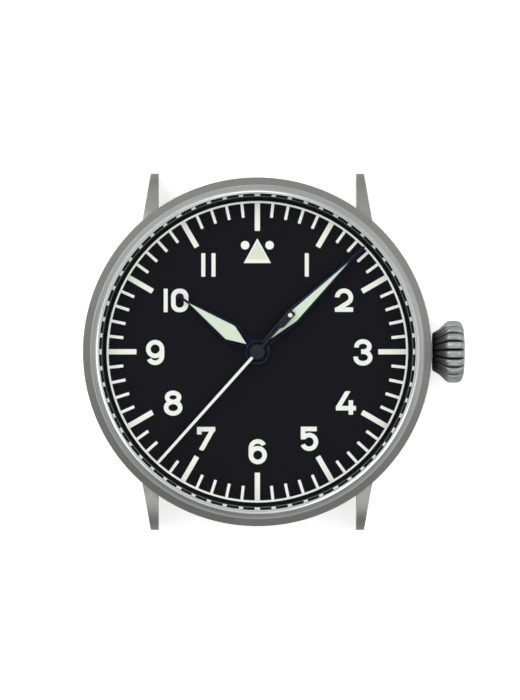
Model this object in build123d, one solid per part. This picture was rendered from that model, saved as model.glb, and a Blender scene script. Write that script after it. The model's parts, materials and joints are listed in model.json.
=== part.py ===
from build123d import *
import math
import os

# Pilot's wrist watch head lying on its back: +Z leaves the dial, +Y points to 12 o'clock and
# +X to the crown. The origin is the centre of the outer face of the case back.
# All lengths are in millimetres, all angles in degrees unless a name says otherwise.

# Fits
running_gap = 0.02
seat_gap = 0.05
free_gap = 0.12
cut_overrun = 0.5

# Case, bezel and crystal
case_base_inset = 1.4
case_base_rise = 1.1
case_shoulder_inset = 0.93
case_shoulder_drop = 0.9
case_ledge_width = 1.85
case_back_lip_width = 0.95
case_back_lip_height = 1.8
bezel_width = 0.97
bezel_lip_width = 0.3
bezel_skirt_width = 0.35
bezel_skirt_depth = 0.6
bezel_edge_height = 1.0
bezel_rise = 0.8
bezel_flat_width = 0.3
bezel_overlap = 0.4
crystal_thickness = 1.7
crystal_chamfer = 0.25
crystal_gasket_width = 0.08
crystal_gasket_height = 1.3
rehaut_height = 1.6
rehaut_top_width = 0.36
rehaut_foot_width = 0.9
rehaut_step = 0.4

# Case back with its window
back_ring_overlap = 0.55
back_ring_thickness = 1.5
back_ring_width = 2.7
back_spigot_height = 1.7
back_glass_lip = 0.7
back_glass_thickness = 1.3
back_gasket_width = 0.3
back_seal_width = 0.3
back_seal_depth = 0.4
back_notch_width = 2.4
back_notch_depth = 0.7
back_notch_length = 0.8
back_notch_count = 6

# Lugs and the holes for the strap bars
lug_gap = 24.0
lug_overhang = 0.6
lug_tip_width = 0.95
lug_mid_width = 1.45
lug_root_width = 2.15
lug_tip_bottom = 0.5
lug_tip_top = 3.4
lug_hole_radius = 0.55
lug_hole_inset = 1.3
lug_hole_height = 1.95
strap_relief_radius = 2.4

# Stack of the movement and dial, from the back
movement_back_gap = 0.8
bridge_thickness = 1.2
train_space = 2.3
plate_thickness = 1.7
dial_gap = 0.3
dial_thickness = 0.4
movement_flange_thickness = 0.6

# Movement ring, clamps and screws
movement_radius = 15.0
movement_ring_width = 2.6
ring_neck_width = 0.7
plate_flange_width = 0.35
plate_flange_height = 0.3
clamp_width = 2.2
clamp_thickness = 0.25
clamp_reach = 1.0
screw_head_radius = 0.75
screw_head_height = 0.35
screw_shank_radius = 0.4
screw_slot_width = 0.16
screw_slot_depth = 0.15
small_screw_radius = 0.5
small_screw_height = 0.2
small_shank_radius = 0.25

# Dial and its printed and applied marks
dial_edge_gap = 0.25
dial_hole_gap = 0.15
dial_foot_radius = 0.35
dial_foot_length = 0.9
dial_foot_inset = 1.3
print_height = 0.03
lume_height = 0.08
track_margin = 0.3
track_width = 0.25
minute_tick_length = 1.8
minute_tick_width = 0.35
hour_bar_length = 3.36
hour_bar_width = 0.64
minute_count = 60
hour_count = 12
numeral_height = 2.83
numeral_width = 2.2
numeral_stroke = 0.55
numeral_stem = 0.48
numeral_gap = 1.07
numeral_overshoot = 0.1
pair_spacing = 1.23
triangle_gap = 0.89
triangle_height = 3.0
triangle_half_base = 1.65
mark_dot_offset = 1.48
mark_dot_drop = 0.84
mark_dot_radius = 0.52

# Hands
hand_thickness = 0.18
second_hand_thickness = 0.15
second_boss_rise = 0.1
hand_stack_gap = 0.22
hand_dial_gap = 0.3
hour_hand_length = 11.77
hour_lume_start = 1.6
hour_tip_length = 1.67
hour_lume_wide_place = 4.0
hour_lume_half_width = 0.965
hour_hub_radius = 1.5
hand_frame_width = 0.28
minute_tip_gap = 0.1
minute_lume_start = 2.25
minute_tip_length = 2.8
minute_lume_wide_place = 6.0
minute_lume_half_width = 0.66
minute_hub_radius = 1.39
second_tip_gap = 0.3
second_blade_width = 0.42
second_boss_radius = 0.9
second_tail_length = 6.5
second_tail_wide_place = 3.9
second_tail_narrow = 0.3
second_tail_wide = 0.84
second_dot_place = 5.93
second_dot_radius = 0.26
hour_hand_angle = 305.4
minute_hand_angle = 45.5
second_hand_angle = 221.9

# Concentric arbors at the centre
second_arbor_radius = 0.16
second_arbor_gap = 0.06
centre_tube_wall = 0.16
cannon_wall = 0.22
hour_tube_gap = 0.06
hour_tube_wall = 0.32

# Gear teeth: addendum, dedendum in modules, half widths at tip and root as shares of half a pitch
wheel_tooth_shares = (0.8, 1.2, 0.14, 0.55)
pinion_tooth_shares = (0.6, 1.3, 0.2, 0.36)
barrel_teeth = 72
centre_pinion_teeth = 12
centre_teeth = 80
third_pinion_teeth = 10
third_teeth = 75
fourth_pinion_teeth = 10
fourth_teeth = 80
escape_pinion_teeth = 8
escape_teeth = 15
cannon_teeth = 12
minute_wheel_teeth = 36
minute_pinion_teeth = 10
hour_wheel_teeth = 40
setting_wheel_teeth = 18
crown_wheel_teeth = 24
ratchet_teeth = 32
winding_pinion_teeth = 14
clutch_teeth = 8

# Places of the train, as distance in shares of the movement's radius and direction in degrees
barrel_place_share = (0.42, 61.0)
third_place_share = (0.3067, 170.0)
escape_place_share = (0.308, 285.0)
balance_place_share = (0.6, 245.0)
minute_wheel_place_share = (0.2, 0.0)
pallet_place_share = 0.467

# Heights of the train, as shares of the space between bridge and plate
fourth_wheel_level_share = 0.052
third_wheel_level_share = 0.174
centre_wheel_level_share = 0.326
centre_pinion_level_share = 0.72
escape_wheel_level_share = 0.63
barrel_teeth_level_share = 0.755
barrel_drum_level_share = 0.457
roller_level_share = 0.47
pallet_cock_level_share = 0.348
train_wheel_thickness = 0.17
arbor_radius = 0.2
pivot_radius = 0.09
pivot_length = 0.9
front_pivot_length = 0.25
jewel_radius = 0.6
jewel_bore_radius = 0.11
jewel_thickness = 0.5
wheel_rim_share = 0.84
wheel_hub_share = 0.24
wheel_arm_share = 0.16
wheel_arm_count = 5

# Barrel, arbor and mainspring
barrel_drum_share = 0.963
barrel_wall = 0.35
barrel_floor = 0.15
barrel_core_radius = 1.3
barrel_arbor_radius = 0.8
barrel_square_width = 1.0
ratchet_thickness = 0.65
ratchet_sink = 0.05
ratchet_recess_gap = 0.3
ratchet_screw_radius = 1.3
ratchet_screw_height = 0.3
mainspring_turns = 9
mainspring_band_width = 0.1
click_length = 1.7
click_width = 1.1
click_thickness = 0.4
click_tip_width = 0.5

# Balance, hairspring and pallets
balance_radius_share = 0.2867
balance_rim_width = 0.55
balance_thickness = 0.4
balance_level_gap = 0.15
balance_arm_width = 0.5
balance_hub_radius = 0.7
balance_clearance = 0.55
roller_radius = 0.9
roller_thickness = 0.2
impulse_pin_radius = 0.09
impulse_pin_place = 0.68
impulse_pin_length = 0.25
cock_thickness = 0.75
cock_width = 3.4
cock_foot_inset = 0.45
cock_foot_reach = 2.4
hairspring_inner_share = 0.198
hairspring_outer_share = 0.535
hairspring_turns = 8
hairspring_band_width = 0.05
hairspring_height = 0.18
collet_radius = 0.5
escape_tip_gap = 0.2
pallet_arm_width = 0.42
pallet_stone_width = 0.3
pallet_stone_length = 0.8
pallet_reach_angle = 34.0
pallet_cock_width = 1.4
pallet_cock_thickness = 0.4
pallet_cock_share = 0.205

# Motion works under the dial
motion_recess_depth = 1.2
motion_wheel_thickness = 0.25
motion_step = 0.1
minute_pinion_height = 0.5
minute_post_radius = 0.25

# Crown, tube, stem and keyless works
crown_radius = 3.765
crown_base_radius = 2.33
crown_neck_radius = 2.8
crown_end_radius = 3.1
crown_gap = 0.15
crown_neck_length = 0.9
crown_cone_length = 0.9
crown_band_length = 1.5
crown_round_length = 0.45
crown_dome_length = 0.2
crown_bore_depth = 2.0
crown_flute_count = 20
crown_flute_radius = 0.25
crown_flute_depth = 0.3
crown_pull = 1.1
crown_tube_radius = 1.1
crown_tube_bore = 0.75
crown_tube_inset = 0.1
crown_gasket_width = 0.35
crown_gasket_length = 0.4
crown_gasket_inset = 0.3
stem_radius = 0.6
stem_thread_radius = 0.45
stem_thread_length = 0.9
stem_pilot_radius = 0.4
stem_pilot_length = 2.4
stem_square_width = 0.8
stem_groove_radius = 0.35
stem_groove_width = 0.45
stem_neck_radius = 0.58
winding_gear_length = 0.8
winding_addendum = 0.11
winding_hub_radius = 1.3
winding_hub_length = 0.85
clutch_tooth_length = 0.25
clutch_tooth_share = 0.4
sliding_length = 1.65
sliding_radius = 1.25
sliding_groove_radius = 0.95
sliding_groove_width = 0.5
sliding_groove_inset = 0.5
sliding_travel = 0.6
lever_thickness = 0.3
lever_arm_share = 0.1733
lever_width = 1.1
lever_pin_radius = 0.17
yoke_arm_share = 0.1867
yoke_width = 1.0
yoke_finger_width = 0.3
keyless_recess_depth = 0.8
keyless_cover_thickness = 0.2
keyless_cover_gap = 0.1
stem_block_length = 1.1
stem_block_wall = 0.4
bridge_foot_width = 1.35
bridge_split_gap = 0.12

ratchet_radius_share = 0.28
fork_end_gap = 0.12
jewel_sink = 0.12
pallet_jewel_radius = 0.4
hand_tip_width = 0.3
screw_grip_length = 0.8
lug_belly = 0.5

# Angles and counts
wedge_step = 30.0
clamp_angles = (95.0, 200.0, 318.0)
dial_foot_angles = (115.0, 245.0)
barrel_foot_angles = (-25.0, 145.0)
train_foot_angles = ((148.0, 212.0), (298.0, 322.0))
barrel_screw_angles = (-14.0, 60.0, 130.0)
train_screw_angles = (165.0, 190.0, 308.0)
screw_turn_step = 47.0
cock_angle = 278.0
click_angle = 42.0
click_lean = 16.0
pallet_foot_turn = -90.0
lug_flare_angle = 35.0
spiral_steps = 24
crown_flute_phase = -4.3
numeral_arc_step = 10.0
two_start_angle = 178.0
two_end_angle = -40.0
five_start_angle = -157.0
five_end_angle = 140.0
six_end_angle = 28.0

# Shares of the sizes that the outlines follow
winding_tooth_shares = (0.6, 1.0, 0.2, 0.36)
escape_radius_share = 0.82
escape_root_share = 0.76
escape_club_share = 0.12
escape_gullet_share = 0.3
pallet_grip_share = 0.8
lug_root_share = 0.81
lug_flare_share = 0.35
lug_tuck_share = 0.75
lug_sink_share = 0.3
lug_shoulder_share = 0.83
lug_tip_slope = (0.5, 1.0)
numeral_zero_share = 0.95
numeral_round_share = 0.46
numeral_ten_shares = (-0.17, 0.6)
two_bowl_share = 0.5
two_foot_share = 0.5
three_height_share = 1.125
three_widths_shares = (0.95, 1.04)
three_upper_share = 0.56
three_arm_share = 0.1
three_drop_share = 0.2
four_width_share = 1.1
four_bar_share = 0.277
four_top_share = 0.235
four_start_share = 0.41
four_stem_share = 0.27
four_rise_share = 0.335
five_bowl_share = 0.5
five_stem_share = 0.33
five_drop_share = 0.14
five_roof_share = 0.42
seven_serif_share = 0.32
seven_foot_share = 0.22
eight_widths_shares = (0.9, 1.02)
eight_upper_share = 0.54

# Places of the numerals from 1 to 11, in shares of their radius
numeral_place_shares = (
    (0.493, 0.866), (0.864, 0.515), (1.053, -0.006), (0.883, -0.51), (0.516, -0.864), (0.004, -0.996),
    (-0.511, -0.866), (-0.84, -0.512), (-1.019, -0.007), (-0.883, 0.512), (-0.488, 0.866),
)

# Outline of the line that parts the two bridges, in shares of the movement's radius
bridge_split_shares = ((-1.3, 0.578), (-0.053, 0.127), (0.107, 0.04), (0.433, -0.333), (1.1, -0.84))
train_bridge_lower_shares = ((0.62, -1.07), (0.33, -0.62), (0.12, -0.46), (-0.85, -0.58), (-1.2, -0.8))
barrel_bridge_upper_shares = ((1.3, -0.4), (1.3, 1.3), (-1.3, 1.3))
lug_outline_shares = (0.0, 0.55, 0.8, 1.0)

# Derived radii, from the outside in
case_bore = movement_radius + movement_ring_width
front_bore = case_bore + case_ledge_width
bezel_bore = front_bore - bezel_lip_width
bezel_radius = bezel_bore + bezel_width
case_radius = bezel_radius + case_shoulder_inset
crystal_radius = bezel_bore - crystal_gasket_width
back_opening = case_bore - case_back_lip_width
back_ring_radius = back_opening + back_ring_overlap
back_seat_radius = back_ring_radius - back_ring_width
back_glass_radius = back_seat_radius - back_gasket_width
lug_reach = case_radius + lug_overhang
ring_neck_radius = movement_radius + seat_gap + ring_neck_width
back_spigot_bore = ring_neck_radius + seat_gap
rehaut_radius = front_bore - seat_gap
dial_radius = front_bore - dial_edge_gap
rehaut_foot_radius = rehaut_radius - rehaut_foot_width
rehaut_top_radius = rehaut_radius - rehaut_top_width
track_radius = rehaut_foot_radius - track_margin
bar_inner_radius = track_radius - track_width - hour_bar_length
numeral_radius = bar_inner_radius - numeral_gap - numeral_height / 2
triangle_apex = bar_inner_radius - triangle_gap
mark_dot_place = triangle_apex - mark_dot_drop
hour_lume_end = hour_hand_length - hour_tip_length
minute_hand_length = track_radius - minute_tip_gap
minute_lume_end = minute_hand_length - minute_tip_length
second_hand_length = track_radius - second_tip_gap

# Derived sizes of the movement's larger pieces
balance_radius = balance_radius_share * movement_radius
hairspring_inner_radius = hairspring_inner_share * balance_radius
hairspring_outer_radius = hairspring_outer_share * balance_radius
ratchet_radius = ratchet_radius_share * movement_radius
pallet_cock_reach = pallet_cock_share * movement_radius
lever_arm = lever_arm_share * movement_radius
yoke_arm = yoke_arm_share * movement_radius

# Derived heights, from the back up
bridge_back = back_glass_thickness + movement_back_gap
bridge_front = bridge_back + bridge_thickness
plate_back = bridge_front + train_space
plate_front = plate_back + plate_thickness
dial_back = plate_front + dial_gap
ledge_level = dial_back - movement_flange_thickness
dial_front = dial_back + dial_thickness
crystal_back = dial_front + rehaut_height
crystal_front = crystal_back + crystal_thickness
case_top = crystal_back - bezel_overlap
shoulder_level = case_top - case_shoulder_drop
stem_level = (bridge_front + plate_back) / 2
hour_hand_level = dial_front + hand_dial_gap
minute_hand_level = hour_hand_level + hand_thickness + hand_stack_gap
second_hand_level = minute_hand_level + hand_thickness + hand_stack_gap

# Derived sizes of the arbors at the centre
centre_tube_bore = second_arbor_radius + second_arbor_gap
centre_tube_radius = centre_tube_bore + centre_tube_wall
cannon_bore = centre_tube_radius + running_gap
cannon_radius = cannon_bore + cannon_wall
hour_tube_bore = cannon_radius + hour_tube_gap
hour_tube_radius = hour_tube_bore + hour_tube_wall


def polar(distance, degrees):
    angle = math.radians(degrees)
    return distance * math.cos(angle), distance * math.sin(angle)


def placed(share):
    return polar(share[0] * movement_radius, share[1])


def spacing(first, second):
    return math.hypot(second[0] - first[0], second[1] - first[1])


def heading(first, second):
    return math.degrees(math.atan2(second[1] - first[1], second[0] - first[0]))


def between(first, second, share):
    return first[0] + (second[0] - first[0]) * share, first[1] + (second[1] - first[1]) * share


centre = (0, 0)
barrel_centre = placed(barrel_place_share)
third_centre = placed(third_place_share)
escape_centre = placed(escape_place_share)
balance_centre = placed(balance_place_share)
minute_wheel_centre = placed(minute_wheel_place_share)
pallet_centre = between(escape_centre, balance_centre, pallet_place_share)

# Modules follow from the centre distances
barrel_module = 2 * spacing(centre, barrel_centre) / (barrel_teeth + centre_pinion_teeth)
centre_module = 2 * spacing(centre, third_centre) / (centre_teeth + third_pinion_teeth)
third_module = 2 * spacing(centre, third_centre) / (third_teeth + fourth_pinion_teeth)
fourth_module = 2 * spacing(centre, escape_centre) / (fourth_teeth + escape_pinion_teeth)
motion_module = 2 * spacing(centre, minute_wheel_centre) / (cannon_teeth + minute_wheel_teeth)
hour_module = 2 * spacing(centre, minute_wheel_centre) / (hour_wheel_teeth + minute_pinion_teeth)
winding_module = 2 * ratchet_radius / ratchet_teeth
winding_spacing = winding_module * (crown_wheel_teeth + ratchet_teeth) / 2
crown_wheel_reach = math.sqrt(winding_spacing ** 2 - barrel_centre[1] ** 2)
crown_wheel_centre = (barrel_centre[0] + crown_wheel_reach, 0)
setting_spacing = motion_module * (setting_wheel_teeth + minute_wheel_teeth) / 2
setting_wheel_centre = (minute_wheel_centre[0] + setting_spacing, minute_wheel_centre[1])


def level(share):
    return bridge_front + share * train_space


fourth_wheel_level = level(fourth_wheel_level_share)
third_wheel_level = level(third_wheel_level_share)
centre_wheel_level = level(centre_wheel_level_share)
centre_pinion_level = level(centre_pinion_level_share)
escape_wheel_level = level(escape_wheel_level_share)
barrel_teeth_level = level(barrel_teeth_level_share)
barrel_drum_level = level(barrel_drum_level_share)
roller_level = level(roller_level_share)
pallet_cock_level = level(pallet_cock_level_share)
winding_back = bridge_back + ratchet_sink
winding_front = winding_back + ratchet_thickness
winding_tip_radius = winding_module * winding_pinion_teeth / 2 + winding_addendum
winding_start = crown_wheel_centre[0] + winding_module * crown_wheel_teeth / 2 - winding_gear_length / 4
winding_end = winding_start + winding_gear_length
hub_start = winding_start - winding_hub_length
clutch_start = hub_start - clutch_tooth_length
sliding_start = clutch_start - sliding_length
crown_start = case_radius + crown_gap
motion_floor = plate_front - motion_recess_depth
keyless_floor = plate_front - keyless_recess_depth
minute_wheel_level = motion_floor + motion_step
hour_wheel_level = minute_wheel_level + motion_wheel_thickness + 2 * motion_step


def disc(radius, bottom, top, place=centre):
    return Pos(place[0], place[1], bottom) * extrude(Circle(radius), top - bottom)


def ring(outer, inner, bottom, top, place=centre):
    return Pos(place[0], place[1], bottom) * extrude(Circle(outer) - Circle(inner), top - bottom)


def rod(radius, start, end, height, side=0):
    return Pos(start, side, height) * Rot(0, 90, 0) * extrude(Circle(radius), end - start)


def pipe(outer, inner, start, end, height):
    return Pos(start, 0, height) * Rot(0, 90, 0) * extrude(Circle(outer) - Circle(inner), end - start)


def block(start, end, bottom, top):
    size = (end[0] - start[0], end[1] - start[1], top - bottom)
    middle = (start[0] + size[0] / 2, start[1] + size[1] / 2, bottom + size[2] / 2)
    return Pos(*middle) * Box(*size)


def outline(points, bottom, top):
    return Pos(0, 0, bottom) * extrude(make_face(Polyline(*points, close=True)), top - bottom)


def turned(points):
    profile = Plane.XZ * make_face(Polyline(*points, close=True))
    return revolve(profile, Axis.Z)


def capsule(first, second, width, bottom, top):
    slot = SlotCenterToCenter(spacing(first, second), width)
    middle = between(first, second, 1 / 2)
    return Pos(middle[0], middle[1], bottom) * Rot(0, 0, heading(first, second)) * extrude(slot, top - bottom)


def bar(first, second, width):
    length = spacing(first, second)
    middle = between(first, second, 1 / 2)
    return Pos(middle[0], middle[1], 0) * Rot(0, 0, heading(first, second)) * Rectangle(length, width)


def sector(outer, inner, start, end, bottom, top):
    steps = math.ceil((end - start) / wedge_step)
    reach = 2 * outer
    corners = [centre]
    for index in range(steps + 1):
        corners.append(polar(reach, start + (end - start) * index / steps))
    return ring(outer, inner, bottom, top) & outline(corners, bottom, top)


def gear_face(teeth, module, shares, phase):
    pitch_radius = module * teeth / 2
    root = pitch_radius - shares[1] * module
    tip = pitch_radius + shares[0] * module
    half = 180 / teeth
    points = []
    for index in range(teeth):
        angle = phase + 2 * half * index
        points.append(polar(root, angle - shares[3] * half))
        points.append(polar(tip, angle - shares[2] * half))
        points.append(polar(tip, angle + shares[2] * half))
        points.append(polar(root, angle + shares[3] * half))
    return make_face(Polyline(*points, close=True))


def gear(teeth, module, shares, phase, bottom, top, place):
    return Pos(place[0], place[1], bottom) * extrude(gear_face(teeth, module, shares, phase), top - bottom)


def meshed(direction, phase, teeth, other_teeth):
    fraction = (direction - phase) * teeth / 360
    return direction + 180 - (1 / 2 - fraction) * 360 / other_teeth


def spoked(teeth, module, phase, bottom, top, place, hub):
    wheel = gear_face(teeth, module, wheel_tooth_shares, phase)
    pitch_radius = module * teeth / 2
    window = Circle(pitch_radius * wheel_rim_share) - Circle(hub)
    for index in range(wheel_arm_count):
        angle = phase + 360 * index / wheel_arm_count
        window -= bar(centre, polar(pitch_radius, angle), pitch_radius * wheel_arm_share)
    return Pos(place[0], place[1], bottom) * extrude(wheel - window, top - bottom)


def arbor(place, bottom, top, back_length=pivot_length):
    body = disc(arbor_radius, bottom, top, place)
    body += disc(pivot_radius, bottom - back_length, bottom, place)
    body += disc(pivot_radius, top, top + front_pivot_length, place)
    return body


def screw(place, seat, length, head_radius, head_height, shank_radius, angle):
    body = disc(head_radius, seat - head_height, seat, place)
    body += disc(shank_radius, seat, seat + length, place)
    low = seat - head_height - cut_overrun
    half = screw_slot_width / 2
    slot = block((-2 * head_radius, -half), (2 * head_radius, half), 0, cut_overrun + screw_slot_depth)
    return body - Pos(place[0], place[1], low) * Rot(0, 0, angle) * slot


# Rest phases of every toothed wheel, chained so that teeth face gaps
third_angle = third_place_share[1]
escape_angle = escape_place_share[1]
barrel_angle = barrel_place_share[1]
motion_angle = minute_wheel_place_share[1]
centre_phase = 0
barrel_phase = meshed(barrel_angle, centre_phase, centre_pinion_teeth, barrel_teeth)
third_pinion_phase = meshed(third_angle, centre_phase, centre_teeth, third_pinion_teeth)
fourth_pinion_phase = meshed(third_angle + 180, third_pinion_phase, third_teeth, fourth_pinion_teeth)
escape_pinion_phase = meshed(escape_angle, fourth_pinion_phase, fourth_teeth, escape_pinion_teeth)
minute_wheel_phase = meshed(motion_angle, centre_phase, cannon_teeth, minute_wheel_teeth)
hour_phase = meshed(motion_angle + 180, minute_wheel_phase, minute_pinion_teeth, hour_wheel_teeth)
setting_phase = meshed(motion_angle, minute_wheel_phase, minute_wheel_teeth, setting_wheel_teeth)
winding_angle = heading(crown_wheel_centre, barrel_centre)
ratchet_phase = meshed(winding_angle, 180 / crown_wheel_teeth, crown_wheel_teeth, ratchet_teeth)


def strap_relief(sign):
    place = (0, sign * (lug_reach - lug_hole_inset), lug_hole_height)
    return Pos(*place) * Rot(0, 90, 0) * Cylinder(strap_relief_radius, lug_gap)


def lug(side, sign):
    inner = lug_gap / 2
    root = inner + lug_root_width
    low = case_bore * lug_root_share
    neck = low + (lug_reach - low) * lug_outline_shares[1]
    bend = low + (lug_reach - low) * lug_outline_shares[0]
    flare = polar(case_radius, lug_flare_angle)
    points = [(inner, case_bore / 2 + low / 2), (inner, lug_reach), (inner + lug_tip_width, lug_reach)]
    points += [(inner + lug_mid_width, neck), (root, bend)]
    points.append((root + lug_root_width * lug_flare_share, bend - lug_tip_width))
    points += [flare, (case_bore * lug_tuck_share, case_bore / 2)]
    plan = outline([(side * x, sign * y) for x, y in points], 0, case_top)
    rise = shoulder_level - case_base_rise * lug_sink_share
    foot = back_ring_thickness + case_base_rise
    start = low - lug_root_width
    heights = [(start, rise), (low, rise), (neck, lug_shoulder_share * rise), (lug_reach, lug_tip_top)]
    heights += [(lug_reach, lug_tip_bottom), (neck, lug_tip_bottom + lug_belly)]
    heights += [(low, foot), (start, foot)]
    top = Spline(*[(y, z) for y, z in heights[1:4]], tangents=((1, 0), (lug_tip_slope[0], -lug_tip_slope[1])))
    rest = Polyline(*([heights[3]] + heights[4:] + [heights[0], heights[1]]))
    profile = make_face(Curve() + [top, rest])
    sheet = extrude(Plane.YZ * profile, lug_gap, both=True)
    if sign < 0:
        sheet = sheet.mirror(Plane.XZ)
    return plan & sheet


def case_middle():
    base = case_radius - case_base_inset
    shoulder = bezel_radius
    skirt = front_bore + bezel_skirt_width + running_gap
    base_level = back_ring_thickness
    opening_top = base_level + case_back_lip_height
    outer = [(0, base_level), (base, base_level), (case_radius, base_level + case_base_rise)]
    outer += [(case_radius, shoulder_level), (shoulder, case_top), (0, case_top)]
    body = turned(outer)
    for side in (-1, 1):
        for sign in (-1, 1):
            body += lug(side, sign)
    body -= disc(back_opening, base_level - cut_overrun, opening_top)
    body -= disc(case_bore, opening_top, ledge_level)
    body -= disc(front_bore, ledge_level, case_top + cut_overrun)
    body -= disc(skirt, case_top - bezel_skirt_depth, case_top + cut_overrun)
    body -= rod(crown_tube_radius, case_bore - case_ledge_width, case_radius + cut_overrun, stem_level)
    for sign in (-1, 1):
        body -= strap_relief(sign)
        hole = Pos(0, sign * (lug_reach - lug_hole_inset), lug_hole_height) * Rot(0, 90, 0)
        body -= hole * Cylinder(lug_hole_radius, 2 * case_radius)
    return body


def bezel():
    edge = case_top + bezel_edge_height
    flat = bezel_bore + bezel_flat_width
    top = edge + bezel_rise
    skirt = front_bore + bezel_skirt_width
    points = [(front_bore, case_top - bezel_skirt_depth), (skirt, case_top - bezel_skirt_depth)]
    points += [(skirt, case_top), (bezel_radius, case_top), (bezel_radius, edge), (flat, top)]
    points += [(bezel_bore, top - bezel_flat_width / 2), (bezel_bore, crystal_back)]
    points.append((front_bore, crystal_back))
    return turned(points)


def crystal():
    inset = crystal_radius - crystal_chamfer
    points = [(0, crystal_back), (crystal_radius, crystal_back)]
    points += [(crystal_radius, crystal_front - crystal_chamfer), (inset, crystal_front), (0, crystal_front)]
    return turned(points)


def crystal_gasket():
    return ring(bezel_bore, crystal_radius, crystal_back, crystal_back + crystal_gasket_height)


def rehaut_ring():
    points = [(rehaut_foot_radius, dial_front), (rehaut_radius, dial_front), (rehaut_radius, crystal_back)]
    points += [(rehaut_top_radius, crystal_back), (rehaut_top_radius, crystal_back - rehaut_step)]
    return turned(points)


def seal_ring(top):
    middle = back_opening + back_ring_overlap / 2
    half = back_seal_width / 2
    return ring(middle + half, middle - half, back_ring_thickness - back_seal_depth, top)


def case_back():
    lip = back_seat_radius - back_glass_lip
    spigot = back_opening - running_gap
    front = back_ring_thickness
    points = [(back_seat_radius, 0), (back_ring_radius, 0), (back_ring_radius, front)]
    points += [(spigot, front), (spigot, front + back_spigot_height)]
    points += [(back_spigot_bore, front + back_spigot_height), (back_spigot_bore, front)]
    points += [(lip, front), (lip, back_glass_thickness), (back_seat_radius, back_glass_thickness)]
    body = turned(points)
    body -= seal_ring(front + cut_overrun)
    for index in range(back_notch_count):
        start = (back_ring_radius - back_notch_length, -back_notch_width / 2)
        end = (back_ring_radius + cut_overrun, back_notch_width / 2)
        notch = block(start, end, -cut_overrun, back_notch_depth)
        body -= Rot(0, 0, 360 * index / back_notch_count) * notch
    return body


def case_back_gasket():
    return seal_ring(back_ring_thickness)


def back_glass():
    return disc(back_glass_radius, 0, back_glass_thickness)


def back_glass_gasket():
    return ring(back_seat_radius, back_glass_radius, back_glass_thickness / 4, back_glass_thickness)


def movement_ring():
    outer = case_bore - seat_gap
    inner = movement_radius + seat_gap
    flange_inner = movement_radius + plate_flange_width + seat_gap
    shelf = plate_front - plate_flange_height
    neck_top = back_ring_thickness + case_back_lip_height + seat_gap
    points = [(inner, bridge_back), (ring_neck_radius, bridge_back)]
    points += [(ring_neck_radius, neck_top), (outer, neck_top)]
    points += [(outer, ledge_level), (rehaut_radius, ledge_level), (rehaut_radius, dial_back)]
    points += [(flange_inner, dial_back), (flange_inner, shelf), (inner, shelf)]
    return turned(points) - rod(crown_tube_bore, movement_radius - seat_gap, rehaut_radius, stem_level)


def clamp_place(angle):
    return polar(movement_radius - small_screw_radius, angle)


def case_clamps():
    pieces = []
    for angle in clamp_angles:
        inner = polar(movement_radius - clamp_reach, angle)
        outer = polar(ring_neck_radius - seat_gap, angle)
        plate = extrude(bar(inner, outer, clamp_width), clamp_thickness)
        hole = disc(small_shank_radius + running_gap, 0, bridge_back + cut_overrun, clamp_place(angle))
        pieces.append(Pos(0, 0, bridge_back - clamp_thickness) * plate - hole)
    return pieces


def case_clamp_screws():
    seat = bridge_back - clamp_thickness
    sizes = (bridge_thickness, small_screw_radius, small_screw_height, small_shank_radius)
    return [screw(clamp_place(angle), seat, *sizes, angle) for angle in clamp_angles]


def dial_foot_places():
    return [polar(movement_radius - dial_foot_inset, angle) for angle in dial_foot_angles]


def dial():
    body = disc(dial_radius, dial_back, dial_front)
    body -= disc(hour_tube_radius + dial_hole_gap, 0, dial_front + cut_overrun)
    for place in dial_foot_places():
        body += disc(dial_foot_radius, dial_back - dial_foot_length, dial_back, place)
    return body


def minute_track():
    top = dial_front + print_height
    marks = Circle(track_radius) - Circle(track_radius - track_width)
    for index in range(minute_count):
        if index % (minute_count // hour_count):
            angle = 90 - 360 * index / minute_count
            start = track_radius - track_width / 2
            inner = start - minute_tick_length
            marks += bar(polar(inner, angle), polar(start, angle), minute_tick_width)
    return Pos(0, 0, dial_front) * extrude(marks, top - dial_front)


def hour_bars():
    pieces = []
    outer = track_radius - track_width
    for index in range(hour_count):
        angle = 90 - 360 * index / hour_count
        face = bar(polar(outer - hour_bar_length, angle), polar(outer, angle), hour_bar_width)
        pieces.append(Pos(0, 0, dial_front) * extrude(face, lume_height))
    return pieces


def orientation_mark():
    points = [(0, triangle_apex), (triangle_half_base, triangle_apex - triangle_height)]
    points.append((-triangle_half_base, triangle_apex - triangle_height))
    top = dial_front + lume_height
    pieces = [outline(points, dial_front, top)]
    for sign in (-1, 1):
        pieces.append(disc(mark_dot_radius, dial_front, top, (sign * mark_dot_offset, mark_dot_place)))
    return pieces


# Numerals drawn with one even stroke, as an engraver's template draws them
def bow(place, radius, start, sweep):
    outer = radius
    inner = radius - numeral_stroke
    steps = math.ceil(abs(sweep) / numeral_arc_step)
    angles = [start + sweep * index / steps for index in range(steps + 1)]
    points = [polar(outer, angle) for angle in angles] + [polar(inner, angle) for angle in reversed(angles)]
    return Pos(place[0], place[1]) * make_face(Polyline(*points, close=True))


def stroke(first, second):
    return bar(first, second, numeral_stroke)


def oval_ring(width, height):
    inner = Ellipse(width / 2 - numeral_stroke, height / 2 - numeral_stroke)
    return Ellipse(width / 2, height / 2) - inner


def digit_zero():
    width = numeral_width * numeral_zero_share
    hole = (width - 2 * numeral_stroke, numeral_height - 2 * numeral_stroke)
    outer = RectangleRounded(width, numeral_height, width * numeral_round_share)
    return outer - RectangleRounded(hole[0], hole[1], hole[0] * numeral_round_share)


def digit_one():
    return Rectangle(numeral_stem, numeral_height)


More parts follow.
